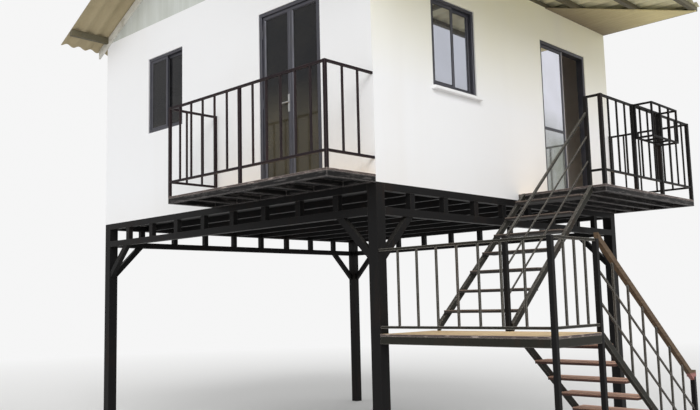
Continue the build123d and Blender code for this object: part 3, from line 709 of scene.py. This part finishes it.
def opening(low, high):
    """The matrix, width, height and depth of a box that sits in a wall."""
    size, middle = high - low, (low + high) / 2
    side = 0 if size.x < size.y else 1
    out = Vector((0, 0, 0))
    out[side] = 1 if middle[side] > room_middle[side] else -1
    along = UP.cross(out)
    corner = Vector((low[k] if along[k] - out[k] > 0 else high[k] for k in (0, 1))).to_3d()
    corner.z = low.z
    turn = Matrix((along, UP, out)).transposed().to_4x4()
    return Matrix.Translation(corner) @ turn, abs(size.dot(along)), size.z, abs(size.dot(out))


print("balcony doorway:", short(opening(*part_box("balcony_door_frame"))[1:]), "wide, high and deep")

# %% [markdown]
# ## Corrugated roof sheets
#
# The roof is laid in wavy cement sheets about a metre wide. Each one laps its neighbour by a wave and the
# row below by 15 centimetres. So every sheet tilts across by about its own thickness, and one in an upper
# row also lifts its foot by a little over two. One function lays a slope that way, and the waves run down
# it as water does.

# %% Roof sheet finishes
def sheet_top():
    paint = Finish("weathered_roof_sheet")
    where = paint.place()
    grain = paint.noise(where, 90, 6, 0.7)
    moss = paint.ramp(paint.noise(where, 2.6, 7, 0.62), (0.46, 0), (0.66, 1))
    streak = paint.noise(paint.stretched((0.8, 22, 0.8)), 1, 5, 0.6)
    cement = paint.mix(grain, seen(164, 158, 146), seen(138, 132, 120))
    aged = paint.mix(moss * 0.5, cement, seen(104, 101, 86))
    return paint.surface(
        Base_Color=paint.mix(paint.ramp(streak, (0.5, 0), (0.75, 1)) * 0.6, aged, seen(112, 104, 92)),
        Roughness=0.82 + grain * 0.12,
        Normal=paint.bump(grain + moss, 0.35, 0.003),
    )


DARKER_FROM, DARKER_TO = -1, -2


def sheet_underside():
    """Cream cement, stained in patches and darker over the left slope."""
    paint = Finish("stained_sheet_underside")
    where = paint.place()
    grain = paint.noise(where, 70, 6, 0.7)
    stain = paint.ramp(paint.noise(where, 1.9, 6, 0.6), (0.44, 0), (0.66, 1))
    clean = paint.mix(grain, seen(240, 235, 200), seen(224, 219, 184))
    darker_tone = paint.mix(grain, seen(190, 176, 142), seen(164, 150, 120))
    left_slope = paint.fade(paint.axes(where)[0], DARKER_FROM, DARKER_TO)
    return paint.surface(
        Base_Color=paint.mix(stain * 0.5, paint.mix(left_slope, clean, darker_tone), seen(158, 144, 114)),
        Roughness=0.8 + grain * 0.12,
        Normal=paint.bump(grain, 0.25, 0.002),
    )


roof_finishes = [sheet_top(), sheet_underside()]
print("finishes:", [m.name for m in roof_finishes])

# %% One wavy sheet
WAVES = 31
WAVES_COVERED = 5
WAVE_POINTS = 10
WAVE_DEPTH = 0.036
SHEET_THICKNESS = 0.006
SIDE_TILT = 0.0065
END_TILT = 0.014
TOP, UNDERSIDE = 0, 1
roof_low, roof_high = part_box("roof_left_sheets")
WAVE_PITCH = (roof_high.y - roof_low.y) / WAVES


def wave(y):
    """Height of the sheet's underside above its troughs."""
    return WAVE_DEPTH * (1 - math.cos(math.tau * (y - roof_low.y) / WAVE_PITCH)) / 2


def sheet(form, foot, head, first_wave, is_lapping):
    """One wavy sheet between two (x, z) points, over one more wave than it covers."""
    count = WAVE_POINTS * (WAVES_COVERED + 1)
    low_y = roof_low.y + first_wave * WAVE_PITCH
    under, over = [], []
    for end, lift in ((foot, END_TILT if is_lapping else 0), (head, 0)):
        line = []
        for i in range(count + 1):
            y = low_y + WAVE_PITCH * i / WAVE_POINTS
            line.append((end.x, y, end.y + lift + SIDE_TILT * (1 - i / count) + wave(y)))
        under.append(line)
        over.append([(x, y, z + SHEET_THICKNESS) for x, y, z in line])
    form.loft(over, TOP, closed=False)
    form.loft(under, UNDERSIDE, closed=False)
    rims = [[*below, *reversed(above)] for below, above in zip(under, over)]
    last = 2 * count + 1
    for rim in rims:
        form.add(rim, [(i, i + 1, last - i - 1, last - i) for i in range(count)])
    for a, b in ((0, last), (count, count + 1)):
        form.add([rims[0][a], rims[1][a], rims[1][b], rims[0][b]], [(0, 1, 2, 3)])


print("a wave is", round(WAVE_PITCH, MILLIMETRE_DIGITS), "m, a sheet", WAVES_COVERED + 1, "of them")

# %% Lay a slope of sheets
ROW_LAP = 0.15
SAME_PLACE = 1e-4


def slope_line(node):
    """Both ends of a sheet solid's underside, as (x, z), with the lower x first."""
    points = [v.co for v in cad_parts[node].data.vertices]
    ends = []
    for x in (min(p.x for p in points), max(p.x for p in points)):
        ends.append(Vector((x, min(p.z for p in points if abs(p.x - x) < SAME_PLACE))))
    return ends


def lay_slope(name, node, rows):
    """All sheets of a slope, in rows from the foot up; the foot of a level roof is its outer edge."""
    foot, head = sorted(slope_line(node), key=lambda p: (round(p.y, MILLIMETRE_DIGITS), -p.x))
    run = head - foot
    form = Form()
    for row in range(rows):
        start = foot + run * (row / rows)
        finish = foot + run * ((row + 1) / rows)
        if row + 1 < rows:
            finish += run.normalized() * ROW_LAP
        for first_wave in range(0, WAVES - 1, WAVES_COVERED):
            sheet(form, start, finish, first_wave, row > 0)
    made = form.piece(name, roof_finishes, smooth_below=40)
    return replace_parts(made, node)


lay_slope("left_slope_sheets", "roof_left_sheets", 2)
lay_slope("right_slope_sheets", "roof_right_sheets", 2)
lay_slope("porch_roof_sheets", "porch_sheets", 1)

# %% [markdown]
# ## Ridge cap and roofing screws
#
# The ridge is closed by short bent lengths, each with a rolled crown and each tucked under the next. Sheets
# are held by screws with a wide washer, and these go only through the crests, where no water runs. Over the
# room they stand where a crest crosses a purlin, and the purlins' own boxes say where that is. Over the
# level porch three lines of them are spread along its reach.

# %% Ridge cap in lengths
CAP_LENGTH = 1.2
CAP_LAP = 0.06
CAP_ROLL = 0.042
CAP_THICKNESS = 0.006
CAP_SWELL = 0.003
CROWN_START, CROWN_TURN, CROWN_STEPS = 200, 220, 8
cap_low, cap_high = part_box("ridge_cap")
ridge_x = (cap_low.x + cap_high.x) / 2


def cap_section(swell):
    """The outline of the cap across the ridge, thickened by swell where one length laps the next."""
    reach = (cap_high.x - cap_low.x) / 2
    middle_z = cap_high.z - CAP_SWELL - CAP_ROLL
    radius = CAP_ROLL + swell
    crown = []
    for i in range(CROWN_STEPS + 1):
        angle = math.radians(CROWN_START - CROWN_TURN * i / CROWN_STEPS)
        crown.append((ridge_x + radius * math.cos(angle), middle_z + radius * math.sin(angle)))
    rim_z = cap_low.z + CAP_THICKNESS + swell
    upper = [(ridge_x - reach, rim_z), *crown, (ridge_x + reach, rim_z)]
    lower = [(x, z - CAP_THICKNESS) for x, z in upper]
    return upper + lower[::-1]


ridge = Form()
cap_count = round((cap_high.y - cap_low.y) / CAP_LENGTH)
cap_step = (cap_high.y - cap_low.y) / cap_count
for i in range(cap_count):
    start = cap_low.y + i * cap_step
    end = min(start + cap_step + CAP_LAP, cap_high.y)
    rows = [[(x, y, z) for x, z in cap_section(swell)] for y, swell in ((start, CAP_SWELL), (end, 0))]
    ridge.loft(rows, TOP, capped=True)
ridge_piece = ridge.piece("ridge_cap_lengths", [roof_finishes[TOP]], smooth_below=50)
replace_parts(ridge_piece, "ridge_cap")

# %% Roofing screws
WASHER_RADIUS, WASHER_HEIGHT = 0.017, 0.003
HEAD_RADIUS, HEAD_HEIGHT = 0.008, 0.009
SCREW_EVERY = 2
EDGE_MARGIN, RIDGE_MARGIN = 0.02, 0.2
PORCH_SCREWS = (0.3, 0.6, 0.94)
screws = Form()


def plain_finish(name, linear_colour, roughness, spread, scale, metallic=0.0):
    """One even colour, with a roughness that varies by spread in specks of the given scale."""
    plain = Finish(name, Metallic=metallic)
    return plain.surface(
        Base_Color=(*linear_colour, 1),
        Roughness=roughness + plain.noise(plain.place(), scale) * spread,
    )


def screw_line(x, height):
    """Screws through every second crest, along the house at one place of a slope."""
    for crest in range(0, WAVES, SCREW_EVERY):
        y = roof_low.y + (crest + 0.5) * WAVE_PITCH
        z = height + WAVE_DEPTH + SHEET_THICKNESS + SIDE_TILT * 0.5
        screws.pin((x, y, z), (x, y, z + WASHER_HEIGHT), WASHER_RADIUS)
        screws.pin((x, y, z), (x, y, z + HEAD_HEIGHT), HEAD_RADIUS, sides=6)


for node in ("roof_left_sheets", "roof_right_sheets"):
    first, last = slope_line(node)
    for low, high in solids("roof_purlins"):
        x = (low.x + high.x) / 2
        if first.x + EDGE_MARGIN < x < last.x - EDGE_MARGIN and abs(x - ridge_x) > RIDGE_MARGIN:
            share = (x - first.x) / (last.x - first.x)
            screw_line(x, first.y + (last.y - first.y) * share)
porch_low, porch_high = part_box("porch_sheets")
for reach in PORCH_SCREWS:
    screw_line(porch_low.x + (porch_high.x - porch_low.x) * reach, porch_low.z)
galvanised = plain_finish("galvanised_screw", (0.42, 0.41, 0.39), 0.4, 0.3, 80, metallic=0.85)
screws.piece("roofing_screws", [galvanised])

# %% [markdown]
# ## Aluminium windows
#
# Each window is a mitred aluminium frame with two sashes, one in front of the other. A sash is a ring of
# its own with a black rubber strip round a pane. The ring is drawn once as a section, with its small
# chamfers and the bead that holds the glass, and goes round each opening at the size of the measured solid.
# The two gable ends have smoked panes. Those of the side walls have a mirror film and throw back the
# sky, the entrance doors most of all. Panes that come near a deck are tinted low down: dust where rain
# splashes them, and also a painted reflection, greenish on the mirror panes, and a painted view of the warm
# room behind the smoked ones.

# %% Aluminium and rubber
RUBBED_EDGE = 0.003


def aluminium():
    metal = Finish("blue_grey_aluminium", Metallic=0.35)
    where = metal.place()
    dust = metal.ramp(metal.noise(where, 7, 6, 0.65), (0.45, 0), (0.7, 1))
    fine = metal.noise(where, 140, 3)
    rub = metal.ramp(metal.edges(RUBBED_EDGE) * EDGE_GAIN, (0.3, 0), (0.8, 1))
    coat = metal.mix(dust * 0.5, seen(64, 64, 72), seen(88, 87, 91))
    return metal.surface(
        Base_Color=metal.mix(rub, coat, seen(128, 130, 138)),
        Roughness=0.40 + dust * 0.2,
        Normal=metal.bump(fine, 0.06, 0.0006),
    )


grey_metal = aluminium()
black_rubber = plain_finish("black_rubber_strip", (0.012, 0.012, 0.013), 0.6, 0.2, 60)
print("finishes:", grey_metal.name, black_rubber.name)

# %% Glass
FOOT_TINT_FROM, FOOT_TINT_TO = 1.25, 0.75
PANE_SHINE = 0.25


def tinted_glass(name, tint, foot_dust_and_reflection, mirror, shown):
    """A pane that lets part of the light through; mirror is how much of its tint it reflects like metal."""
    pane = Finish(name, IOR=1.5, Specular_IOR_Level=PANE_SHINE)
    where = pane.place()
    smear = pane.ramp(pane.noise(where, 2.5, 5), (0.4, 0), (0.75, 1))
    # The foot tint is dust, and also a painted reflection of greenery on mirror panes and a painted view of
    # the warm room through smoked ones.
    low_down = pane.fade(pane.axes(where)[2], room_low.z + FOOT_TINT_FROM, room_low.z + FOOT_TINT_TO)
    dust = low_down * (0.65 + smear * 0.2) + smear * 0.12
    return pane.surface(
        Base_Color=pane.mix(dust, seen(*tint), seen(*foot_dust_and_reflection)),
        Metallic=mirror - dust * mirror * 0.3,
        Roughness=0.02 + dust * 0.04,
        Alpha=shown + dust * (1 - shown) * 0.5,
    )


# The second colour of each pane is its foot: dust plus a painted reflection or a painted view of the room.
smoked_glass = tinted_glass("smoked_glass", (18, 19, 24), (84, 79, 64), 0.0, 0.76)
side_glass = tinted_glass("side_window_glass", (200, 203, 214), (134, 140, 128), 0.94, 0.86)
sky_glass = tinted_glass("entrance_glass", (236, 237, 247), (134, 140, 128), 0.94, 0.86)
opening_finishes = [grey_metal, black_rubber, smoked_glass, side_glass, sky_glass]
METAL, RUBBER, SMOKED, SIDE, MIRROR = range(len(opening_finishes))
print("finishes:", [m.name for m in opening_finishes])

# %% Sections shared by windows and doors
CHAMFER = 0.003
REBATE = 0.010
BEAD_SHARE = 0.3
STRIP = 0.004
STRIP_TUCK, PANE_TUCK = 0.002, 0.003
PANE = 0.005


def plain_section(face, depth):
    """A frame bar: square at the back, with chamfers in front."""
    return [(0, -depth), (0, -CHAMFER), (CHAMFER, 0), (face - CHAMFER, 0), (face, -CHAMFER), (face, -depth)]


def sash_section(stile, depth):
    """A sash bar: chamfered outside, then a sloping bead down to the glass."""
    return [
        (0, -depth + CHAMFER), (0, -CHAMFER), (CHAMFER, 0), (stile - REBATE, 0),
        (stile, -depth * BEAD_SHARE), (stile, -depth * (1 - BEAD_SHARE)),
        (stile - REBATE, -depth), (CHAMFER, -depth),
    ]


def glazed(form, width, height, stile, depth, glass):
    """A sash or door leaf: bar ring, a rubber strip on each side of the glass, and the pane."""
    form.ring((0, 0), (width, height), sash_section(stile, depth), METAL)
    pane_low, pane_high = -depth / 2 - PANE / 2, -depth / 2 + PANE / 2
    for near, far in ((pane_high, pane_high + STRIP), (pane_low - STRIP, pane_low)):
        section = [(-STRIP_TUCK, near), (-STRIP_TUCK, far), (STRIP, far), (STRIP + STRIP_TUCK, near)]
        form.ring((stile, stile), (width - stile, height - stile), section, RUBBER)
    edge = stile - PANE_TUCK
    form.bar((edge, edge, pane_low), (width - edge, height - edge, pane_high), glass)


print("corners of a frame bar:", len(plain_section(1, 1)), "of a sash bar:", len(sash_section(1, 1)))

# %% Windows
WINDOW_STILE = 0.034
frames, sashes = Form(), Form()
frame_boxes, sash_boxes = solids("window_frames"), solids("window_sashes")
frame_face = sash_boxes[0][0].z - frame_boxes[0][0].z


def is_side_opening(low, high):
    """True for an opening in one of the two side walls."""
    return high.x - low.x < high.y - low.y


for low, high in frame_boxes:
    frames.place, width, height, depth = opening(low, high)
    frames.ring((0, 0), (width, height), plain_section(frame_face, depth), METAL)
for low, high in sash_boxes:
    sashes.place, width, height, depth = opening(low, high)
    glass = SIDE if is_side_opening(low, high) else SMOKED
    glazed(sashes, width, height, WINDOW_STILE, depth, glass)
frames_piece = frames.piece("aluminium_window_frames", opening_finishes)
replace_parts(frames_piece, "window_frames")
sashes_piece = sashes.piece("sliding_window_sashes", opening_finishes)
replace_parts(sashes_piece, "window_sashes")

# %% [markdown]
# ## Sills
#
# Under the side windows a white board juts out past the frame. Its top falls a little outwards so that rain
# runs off, and its front edge is eased.

# %% Window sills
SILL_FALL = 0.008
SILL_LEVEL_SHARE = 0.6
SILL_EASING = 0.003
sills = Form()
for low, high in solids("window_sills"):
    sills.place, width, height, depth = opening(low, high)
    section = [
        (0, -depth), (0, 0), (height - SILL_FALL, 0), (height, -depth * SILL_LEVEL_SHARE), (height, -depth),
    ]
    sills.loft([[(u, v, w) for v, w in section] for u in (0, width)], capped=True)
sills_piece = sills.piece("white_window_sills", [boards], rounding=SILL_EASING)
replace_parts(sills_piece, "window_sills")

# %% [markdown]
# ## Balcony doors
#
# The balcony has a pair of full-glass leaves in an aluminium frame, hung on barrel hinges at the outer
# edges, with one pale lever handle at mid height. They are shown closed.

# %% Door frame, hinges and handle
FOOT_OVERLAP = 0.001
HINGE_SHARES = (0.1, 0.5, 0.9)
HINGE_INSET, HINGE_REACH, HINGE_RADIUS = 0.004, 0.05, 0.007
PLATE_WIDTH, PLATE_HEIGHT, PLATE_DEPTH = 0.026, 0.19, 0.006
SHARE_BELOW_LEVER = 0.55
NECK_LENGTH, NECK_RADIUS = 0.018, 0.009
LEVER_LENGTH, LEVER_RADIUS, LEVER_STANDOFF = 0.12, 0.008, 0.016
pale_metal = plain_finish("pale_handle_metal", (0.40, 0.40, 0.40), 0.35, 0.2, 50, metallic=0.8)
PALE = len(opening_finishes)
opening_finishes.append(pale_metal)


def door_frame(low, high, jamb, leaf_foot):
    """A frame in a doorway's box, on a foot bar that brings its opening up to the leaves' foot."""
    form = Form()
    form.place, width, height, depth = opening(low, high)
    lift = leaf_foot - low.z - jamb
    form.ring((0, lift), (width, height), plain_section(jamb, depth), METAL)
    form.bar((0, 0, -depth), (width, lift + FOOT_OVERLAP, -CHAMFER), METAL)
    return form


def hinges(form, u, leaf_height):
    """Three barrels down one edge of a leaf."""
    for share in HINGE_SHARES:
        v = leaf_height * share
        barrel = [(u, end, HINGE_INSET) for end in (v - HINGE_REACH, v + HINGE_REACH)]
        form.pin(*barrel, HINGE_RADIUS, METAL)


def lever_handle(form, u, v):
    """A plate with a lever that points back along the leaf."""
    plate_foot = v - PLATE_HEIGHT * SHARE_BELOW_LEVER
    plate_low = (u - PLATE_WIDTH / 2, plate_foot, 0)
    form.bar(plate_low, (u + PLATE_WIDTH / 2, plate_foot + PLATE_HEIGHT, PLATE_DEPTH), PALE)
    form.pin((u, v, 0), (u, v, NECK_LENGTH), NECK_RADIUS, PALE)
    form.pin((u, v, LEVER_STANDOFF), (u - LEVER_LENGTH, v, LEVER_STANDOFF), LEVER_RADIUS, PALE)


print("finish:", pale_metal.name, "number", PALE)

# %% Balcony door leaves
DOOR_STILE = 0.045
HANDLE_HEIGHT = 0.94
doorway_low, doorway_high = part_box("balcony_door_frame")
leaf_boxes = solids("balcony_door_leaves")
leaf_corner = leaf_boxes[0][0]
balcony_frame = door_frame(doorway_low, doorway_high, leaf_corner.x - doorway_low.x, leaf_corner.z)
door_leaves = Form()
for i, (low, high) in enumerate(leaf_boxes):
    door_leaves.place, width, height, depth = opening(low, high)
    glazed(door_leaves, width, height, DOOR_STILE, depth, SMOKED)
    hinges(door_leaves, HINGE_INSET if i == 0 else width - HINGE_INSET, height)
    if i == 0:
        lever_handle(door_leaves, width - DOOR_STILE / 2, HANDLE_HEIGHT)
balcony_frame_piece = balcony_frame.piece("balcony_door_surround", opening_finishes)
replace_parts(balcony_frame_piece, "balcony_door_frame")
door_leaves_piece = door_leaves.piece("balcony_glass_doors", opening_finishes)
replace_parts(door_leaves_piece, "balcony_door_leaves")

# %% [markdown]
# ## Entrance doors
#
# The entrance has one fixed glass leaf and one that slides behind it on a floor track. Both have a middle
# rail. The sliding leaf stands open, stacked behind the fixed one, whose free edge carries a strip of bare
# bright metal. The strip is a thin bar laid on the leaf, because a painted line would vanish when seen from
# the side.

# %% A leaf with a middle rail
MID_RAIL = 0.032
MID_RAIL_HEIGHT = 0.96
MID_RAIL_INSET = 0.002
ENTRANCE_STILE = 0.034
BARE_STRIP = 0.010
STRIP_SUNK, STRIP_PROUD = 0.002, 0.0015
ENTRANCE_LEAF = "entrance_leaf"
bare_metal = plain_finish("bare_bright_edge", (0.62, 0.60, 0.60), 0.45, 0.2, 40, metallic=0.5)
BARE = len(opening_finishes)
opening_finishes.append(bare_metal)


def entrance_leaf(low, high, has_bare_edge):
    """A glazed leaf with its middle rail and, where asked, a bare strip down its free edge."""
    form = Form()
    form.place, width, height, depth = opening(low, high)
    glazed(form, width, height, ENTRANCE_STILE, depth, MIRROR)
    start = ENTRANCE_STILE - REBATE
    rail_low = room_low.z + MID_RAIL_HEIGHT - low.z
    rail_corner = (width - start, rail_low + MID_RAIL, -MID_RAIL_INSET)
    form.bar((start, rail_low, -depth + MID_RAIL_INSET), rail_corner, METAL)
    if has_bare_edge:
        end = width - CHAMFER
        form.bar((end - BARE_STRIP, STRIP, -STRIP_SUNK), (end, height - STRIP, STRIP_PROUD), BARE)
    return form


print("finish:", bare_metal.name, "number", BARE)

# %% Entrance frame and its two leaves
entrance_low, entrance_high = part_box("entrance_frame")
fixed_low, fixed_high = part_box("entrance_fixed_leaf")
entrance = door_frame(entrance_low, entrance_high, fixed_low.y - entrance_low.y, fixed_low.z)
fixed = entrance_leaf(fixed_low, fixed_high, True)
sliding = entrance_leaf(*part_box("entrance_sliding_leaf"), False)
entrance_piece = entrance.piece("entrance_door_surround", opening_finishes)
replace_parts(entrance_piece, "entrance_frame")
fixed_piece = fixed.piece("entrance_fixed_glass", opening_finishes)
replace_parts(fixed_piece, "entrance_fixed_leaf")
sliding_piece = sliding.piece("entrance_sliding_glass", opening_finishes, ENTRANCE_LEAF)
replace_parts(sliding_piece, "entrance_sliding_leaf")

# %% [markdown]
# ## Floor, light and camera
#
# The house stands on a wide pale floor under a soft even sky, with one large soft sun from behind the
# camera, as on a bright day with thin cloud. Near the house the floor is a plain matt white that takes
# shadows. Further out it fades into the brightness of the backdrop, so no hard horizon cuts behind the
# stair. The camera is held at eye height off the corner between balcony and stair. It looks up a little and
# is rolled by a little over a degree, as the photograph is.

# %% Studio floor
FLOOR_REACH = 90
FADE_START, FADE_END = 7, 22
SKY_LEVEL, BACKDROP = 0.58, 0.92
floor_mesh = bpy.data.meshes.new("studio_floor")
corners = [(x * FLOOR_REACH, y * FLOOR_REACH, 0) for x, y in ((-1, -1), (1, -1), (1, 1), (-1, 1))]
floor_mesh.from_pydata(corners, [], [(0, 1, 2, 3)])
studio_floor = bpy.data.objects.new("studio_floor", floor_mesh)
bpy.context.collection.objects.link(studio_floor)

pale_floor = Finish("pale_studio_floor", Roughness=0.9, Base_Color=(0.84, 0.84, 0.83, 1))
centre_out = {0: pale_floor.place()}
distance = pale_floor.node("ShaderNodeVectorMath", {"operation": "LENGTH"}, centre_out, "Value")
eye = pale_floor.node("ShaderNodeLightPath", {}, {}, "Is Camera Ray")
mirrored = pale_floor.node("ShaderNodeLightPath", {}, {}, "Is Glossy Ray")
glow = pale_floor.node("ShaderNodeEmission", {}, {"Color": (1, 1, 1, 1), "Strength": BACKDROP})
far_off = pale_floor.fade(distance, FADE_START, FADE_END) * (eye + mirrored)
faded = pale_floor.node("ShaderNodeMixShader", {}, {0: far_off, 1: pale_floor.shader, 2: glow})
pale_floor.tree.links.new(faded.socket, pale_floor.output.inputs["Surface"])
floor_mesh.materials.append(pale_floor.material)
print("floor fades from", FADE_START, "to", FADE_END, "m")

# %% Sky
world = bpy.context.scene.world or bpy.data.worlds.new("soft_sky")
bpy.context.scene.world = world
world.use_nodes = True
sky = world.node_tree
sky.nodes.clear()


def sky_part(strength):
    part = sky.nodes.new("ShaderNodeBackground")
    part.inputs["Color"].default_value = (1, 1, 1, 1)
    part.inputs["Strength"].default_value = strength
    return part.outputs["Background"]


ray = sky.nodes.new("ShaderNodeLightPath")
is_seen = sky.nodes.new("ShaderNodeMath")
is_seen.operation = "ADD"
is_seen.use_clamp = True
two_skies = sky.nodes.new("ShaderNodeMixShader")
world_output = sky.nodes.new("ShaderNodeOutputWorld")
sky.links.new(ray.outputs["Is Camera Ray"], is_seen.inputs[0])
sky.links.new(ray.outputs["Is Glossy Ray"], is_seen.inputs[1])
sky.links.new(is_seen.outputs[0], two_skies.inputs[0])
sky.links.new(sky_part(SKY_LEVEL), two_skies.inputs[1])
sky.links.new(sky_part(BACKDROP), two_skies.inputs[2])
sky.links.new(two_skies.outputs["Shader"], world_output.inputs["Surface"])
print("sky lights with", SKY_LEVEL, "and shows as", BACKDROP)

# %% Sun
SUN_ENERGY = 1.75
SUN_SPREAD = math.radians(35)
SUN_DIRECTION = Vector((-0.85, 0.68, -0.62))
sun_data = bpy.data.lights.new("soft_sun", "SUN")
sun_data.energy = SUN_ENERGY
sun_data.angle = SUN_SPREAD
sun = bpy.data.objects.new("soft_sun", sun_data)
sun.rotation_euler = SUN_DIRECTION.to_track_quat("-Z", "Y").to_euler()
bpy.context.collection.objects.link(sun)
print("sun energy:", SUN_ENERGY)

# %% Camera
CAMERA_PLACE = Vector((6.784, -7.793, 1.725))
CAMERA_YAW, CAMERA_PITCH, CAMERA_ROLL = math.radians(43.83), math.radians(6.81), -0.0241
CAMERA_LENS, SENSOR_WIDTH = 41.63, 36
right = Vector((math.cos(CAMERA_YAW), math.sin(CAMERA_YAW), 0))
forward = Vector((
    -math.sin(CAMERA_YAW) * math.cos(CAMERA_PITCH),
    math.cos(CAMERA_YAW) * math.cos(CAMERA_PITCH),
    math.sin(CAMERA_PITCH),
))
above = right.cross(forward)
camera_right = math.cos(CAMERA_ROLL) * right + math.sin(CAMERA_ROLL) * above
camera_above = math.cos(CAMERA_ROLL) * above - math.sin(CAMERA_ROLL) * right
turn = Matrix((camera_right, camera_above, -forward)).transposed().to_4x4()
camera_data = bpy.data.cameras.new("camera")
camera_data.lens = CAMERA_LENS
camera_data.sensor_width = SENSOR_WIDTH
camera = bpy.data.objects.new("camera", camera_data)
camera.matrix_world = Matrix.Translation(CAMERA_PLACE) @ turn
bpy.context.collection.objects.link(camera)
bpy.context.scene.camera = camera
bpy.context.scene.view_settings.view_transform = "Standard"
print("camera at", short(camera.location))

# %% Update the view layer
bpy.context.view_layer.update()
